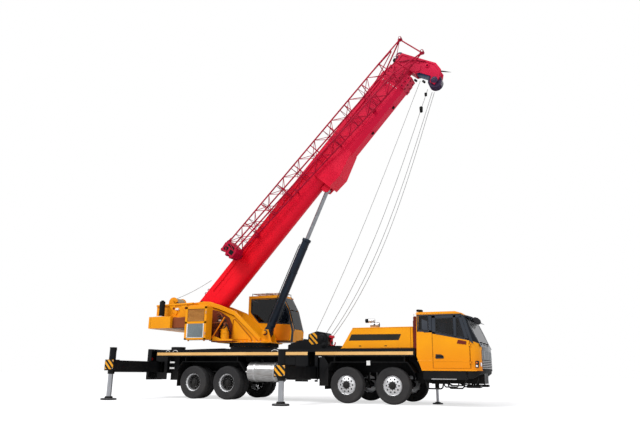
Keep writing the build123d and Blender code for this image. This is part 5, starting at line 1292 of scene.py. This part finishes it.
# dark pulleys, straps and a junction box on the head's top
for s, y, radius in ((11.72, -0.12, 0.085), (11.86, 0.14, 0.075)):
    pulley = [(-0.03, 0.002), (-0.03, radius), (0.0, radius - 0.02), (0.03, radius), (0.03, 0.002)]
    strap = [(s - 0.07, 0.44), (s + 0.07, 0.44), (s + 0.02, 0.60), (s - 0.02, 0.60)]
    shapes += coated(gap_black, lathe(pulley, (s, y, 0.56), "y", 24))
    shapes += coated(frame_black, slab(strap, y - 0.045, y - 0.035, bevel=0.003))
shapes += coated(bare_steel, box(11.70, 11.98, 0.02, 0.08, 0.45, 0.53, 0.01),
                 tube([(11.66, -0.10, 0.50), (11.80, -0.14, 0.70), (12.05, -0.12, 0.52)], 0.012))
piece("head_details", "boom_section_5", *raised(shapes))
groove = [(-0.030, 0.10), (-0.030, 0.245), (-0.024, 0.250), (0.0, 0.218), (0.024, 0.250), (0.030, 0.245),
          (0.030, 0.10)]
shapes = coated(sheave_dark, *[lathe(groove, (sheave_s, y, sheave_n), "y", 56)
                               for y in (-0.135, -0.045, 0.045, 0.135)])
groove = [(-0.034, 0.04), (-0.034, 0.140), (-0.028, 0.146), (0.0, 0.118), (0.028, 0.146), (0.034, 0.140),
          (0.034, 0.04)]
shapes += coated(sheave_dark, lathe(groove, (11.98, 0, 0.60), "y", 40))
piece("sheave_rims", "boom_section_5", *raised(shapes))

# ---- lattice jib ---------------------------------------------------------------------------------
# The stowed jib's lacing: a zigzag of thin welded tubes in each of its four faces between the chords,
# with bays that grow towards the fork, clamps to the boom, and rollers and a hoop at its tail end.
jib_red = painted("jib_dark_red_paint", (0.46, 0.004, 0.035), (0.36, 0.003, 0.028), 0.42)
refinish(jib_red, "jib_lattice")
jib_side = -0.450


def jib_point(s, out, down):
    """A corner of the jib's square section: it widens towards the fork, and leans across the boom."""
    width = 0.430 + (s - 2.600) * 0.0341
    top = 0.774 - (s - 3.867) * 0.0555
    return np.array([s, jib_side - out * width, top - down * width])


stations = [2.55]
while stations[-1] < 10.9:
    stations.append(stations[-1] + 0.37 + 0.16 * (stations[-1] - 2.55) / 8.4)
shapes = []
corners = [(0, 0), (1, 0), (1, 1), (0, 1)]
for face_number, (first, second) in enumerate(zip(corners, corners[1:] + corners[:1])):
    for k, (s0, s1) in enumerate(zip(stations, stations[1:])):
        a, b = (first, second) if (k + face_number) % 2 else (second, first)
        shapes += coated(jib_red, tube([jib_point(s0, *a), jib_point(s1, *b)], 0.012, 6))
    shapes += coated(red_deep, *[tube([jib_point(s, *first), jib_point(s, *second)], 0.010, 6)
                                 for s in stations[1:-1:2]])
# knee braces and the pin lugs at the fork
fork_s, fork_y = 12.30, -0.81
for down, lug in ((0, 0.545), (1, -0.515)):
    shapes += coated(jib_red, tube([jib_point(10.4, 0, down), (11.75, -0.79, lug * 0.95)], 0.018),
                     tube([jib_point(10.4, 1, down), (11.75, -0.83, lug * 0.95)], 0.018))
    eye = [(-0.085, 0.03), (-0.085, 0.062), (0.085, 0.062), (0.085, 0.03)]
    pin = [(-0.095, 0.002), (-0.095, 0.032), (0.095, 0.032), (0.095, 0.002)]
    shapes += coated(red_deep, lathe(eye, (fork_s, fork_y, lug), "y", 24))
    shapes += coated(bare_steel, lathe(pin, (fork_s, fork_y, lug), "y", 20))
    shapes += coated(jib_red, tube([(12.27, fork_y, lug), (11.2, -0.60, 0.02)], 0.012, 6))
shapes += coated(jib_red, tube([(11.20, -0.46, 0.35), (11.60, -0.30, 0.42)], 0.024),
                 tube([(11.20, -0.46, -0.25), (11.60, -0.30, -0.10)], 0.024))
# tail rollers, the hoop and a bracing frame
roller = [(-0.22, 0.002), (-0.22, 0.052), (-0.18, 0.058), (0.18, 0.058), (0.22, 0.052), (0.22, 0.002)]
shapes += coated(red_deep, *[lathe(roller, (s, -0.67, n), "y", 24)
                             for s, n in ((2.13, 0.88), (2.12, 0.60), (2.17, 0.38))])
shapes += coated(gap_black, side_tube(arc(2.44, 1.01, 0.085, 0.085), -0.62, 0.012))
shapes += coated(jib_red, side_tube([(2.30, 0.32), (2.30, 0.92), (2.70, 0.86)], -0.90, 0.022))
shapes += coated(red_deep, side_tube([(2.30, 0.62), (2.62, 0.50)], -0.90, 0.018))
# openings in the tail's side plate, each a black slab of painted shade for a recess, two of them crossed by a
# strut
for opening in ([(2.235, 0.37), (2.22, 0.55), (2.38, 0.57), (2.40, 0.38)],
                [(2.215, 0.65), (2.20, 0.83), (2.36, 0.85), (2.38, 0.66)],
                [(2.43, 0.43), (2.42, 0.80), (2.52, 0.77), (2.52, 0.46)]):
    shapes += coated(gap_black, slab(opening, -0.926, -0.918, bevel=0.002))
shapes += coated(jib_red, side_tube([(2.21, 0.66), (2.37, 0.84)], -0.93, 0.016),
                 side_tube([(2.43, 0.46), (2.52, 0.76)], -0.93, 0.014))
# clamps to the boom's side; row: place along the boom, the boom's side there
for s, boom_face in ((3.35, -0.29), (9.70, -0.31), (5.6, -0.29), (7.95, -0.31)):
    foot = jib_point(s, 0, 1)
    shapes += coated(jib_red, tube([(s, boom_face, foot[2] + 0.02), foot], 0.030, 10))
    shapes += coated(red_deep, tube([(s, boom_face, foot[2] + 0.30), foot + [0, 0, 0.02]], 0.016))
piece("jib_lacing", "boom", *raised(shapes))

# ---- hoist ropes ---------------------------------------------------------------------------------
# Four slack falls of steel wire rope from the head to the parked block: each point drops below the
# straight line by a parabola of the distance along it. A thin line runs from winch to boom.
rope_steel = metal("rope_steel", (0.30, 0.30, 0.31), (0.18, 0.18, 0.18), 0.5, scale=40)
t = np.linspace(0, 1, 40)[:, None]
hump = 4 * t * (1 - t)
# row: start at the head, end at the block, sag, radius
fall_rows = [
    ((4.354, -0.10, 11.239), (0.543, -0.58, 2.300), 0.10, 0.0085),
    ((4.599, -0.045, 10.869), (0.914, -0.58, 2.225), 0.26, 0.0095),
    ((4.740, 0.045, 10.780), (1.061, -0.58, 2.135), 0.34, 0.0095),
    ((4.800, 0.135, 10.800), (1.134, -0.55, 2.100), 0.38, 0.0095),
]
# the falls are cut into five lengths, one to each joint between the superstructure and the head
low_end, high_end = np.array([0.95, -0.57, 2.15]), np.array([4.65, 0.0, 10.90])
rise = high_end - low_end
chain = ("superstructure", "boom", "boom_section_2", "boom_section_3", "boom_section_4", "boom_section_5")
cuts = (-1.0, 0.40, 0.55, 0.70, 0.85, 2.0)
for k, (first, second) in enumerate(zip(chain, chain[1:])):
    shapes = []
    for start, end, sag, radius in fall_rows:
        a, b = np.array(start), np.array(end)
        fall = a + (b - a) * t + np.array([0.75 * sag, 0, -sag]) * hump * (0.6 + 0.8 * t)
        share = (fall - low_end) @ rise / (rise @ rise)
        place = np.linspace(max(cuts[k], share.min()), min(cuts[k + 1], share.max()), 14)
        line = np.column_stack([np.interp(place, share[::-1], column) for column in fall[::-1].T])
        shapes += coated(rope_steel, tube(line, radius))
    fall_piece = piece("hoist_ropes_" + str(k + 1), None, *shapes)
    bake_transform(fall_piece)

# weights on the falls below the head, and rope clamps on it
weight = [(0, 0.02), (0.02, 0.055), (0.20, 0.062), (0.22, 0.05), (0.24, 0.014)]
small_weight = [(0, 0.010), (0.01, 0.045), (0.12, 0.05), (0.14, 0.012)]
shapes = coated(gap_black, lathe(weight, (4.335, -0.06, 10.00), "z", 24),
                lathe(small_weight, (4.52, -0.04, 10.62), "z", 20))
clamps = [box(s - 0.03, s + 0.04, -0.10, -0.02, n - 0.08, n + 0.05, 0.015)
          for s, n in ((11.509, -0.605), (11.63, -0.90))]
piece("rope_weights", "boom_section_5", *shapes, *raised(coated(gap_black, *clamps)))

winch_end, boom_end = np.array([-5.78, -0.05, 3.715]), np.array([-4.12, -0.15, 4.35])
line = winch_end + t * (boom_end - winch_end) - np.array([0, 0, 0.05]) * hump
winch_line = piece("winch_line", None, (tube(line, 0.009), rope_steel))
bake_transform(winch_line)
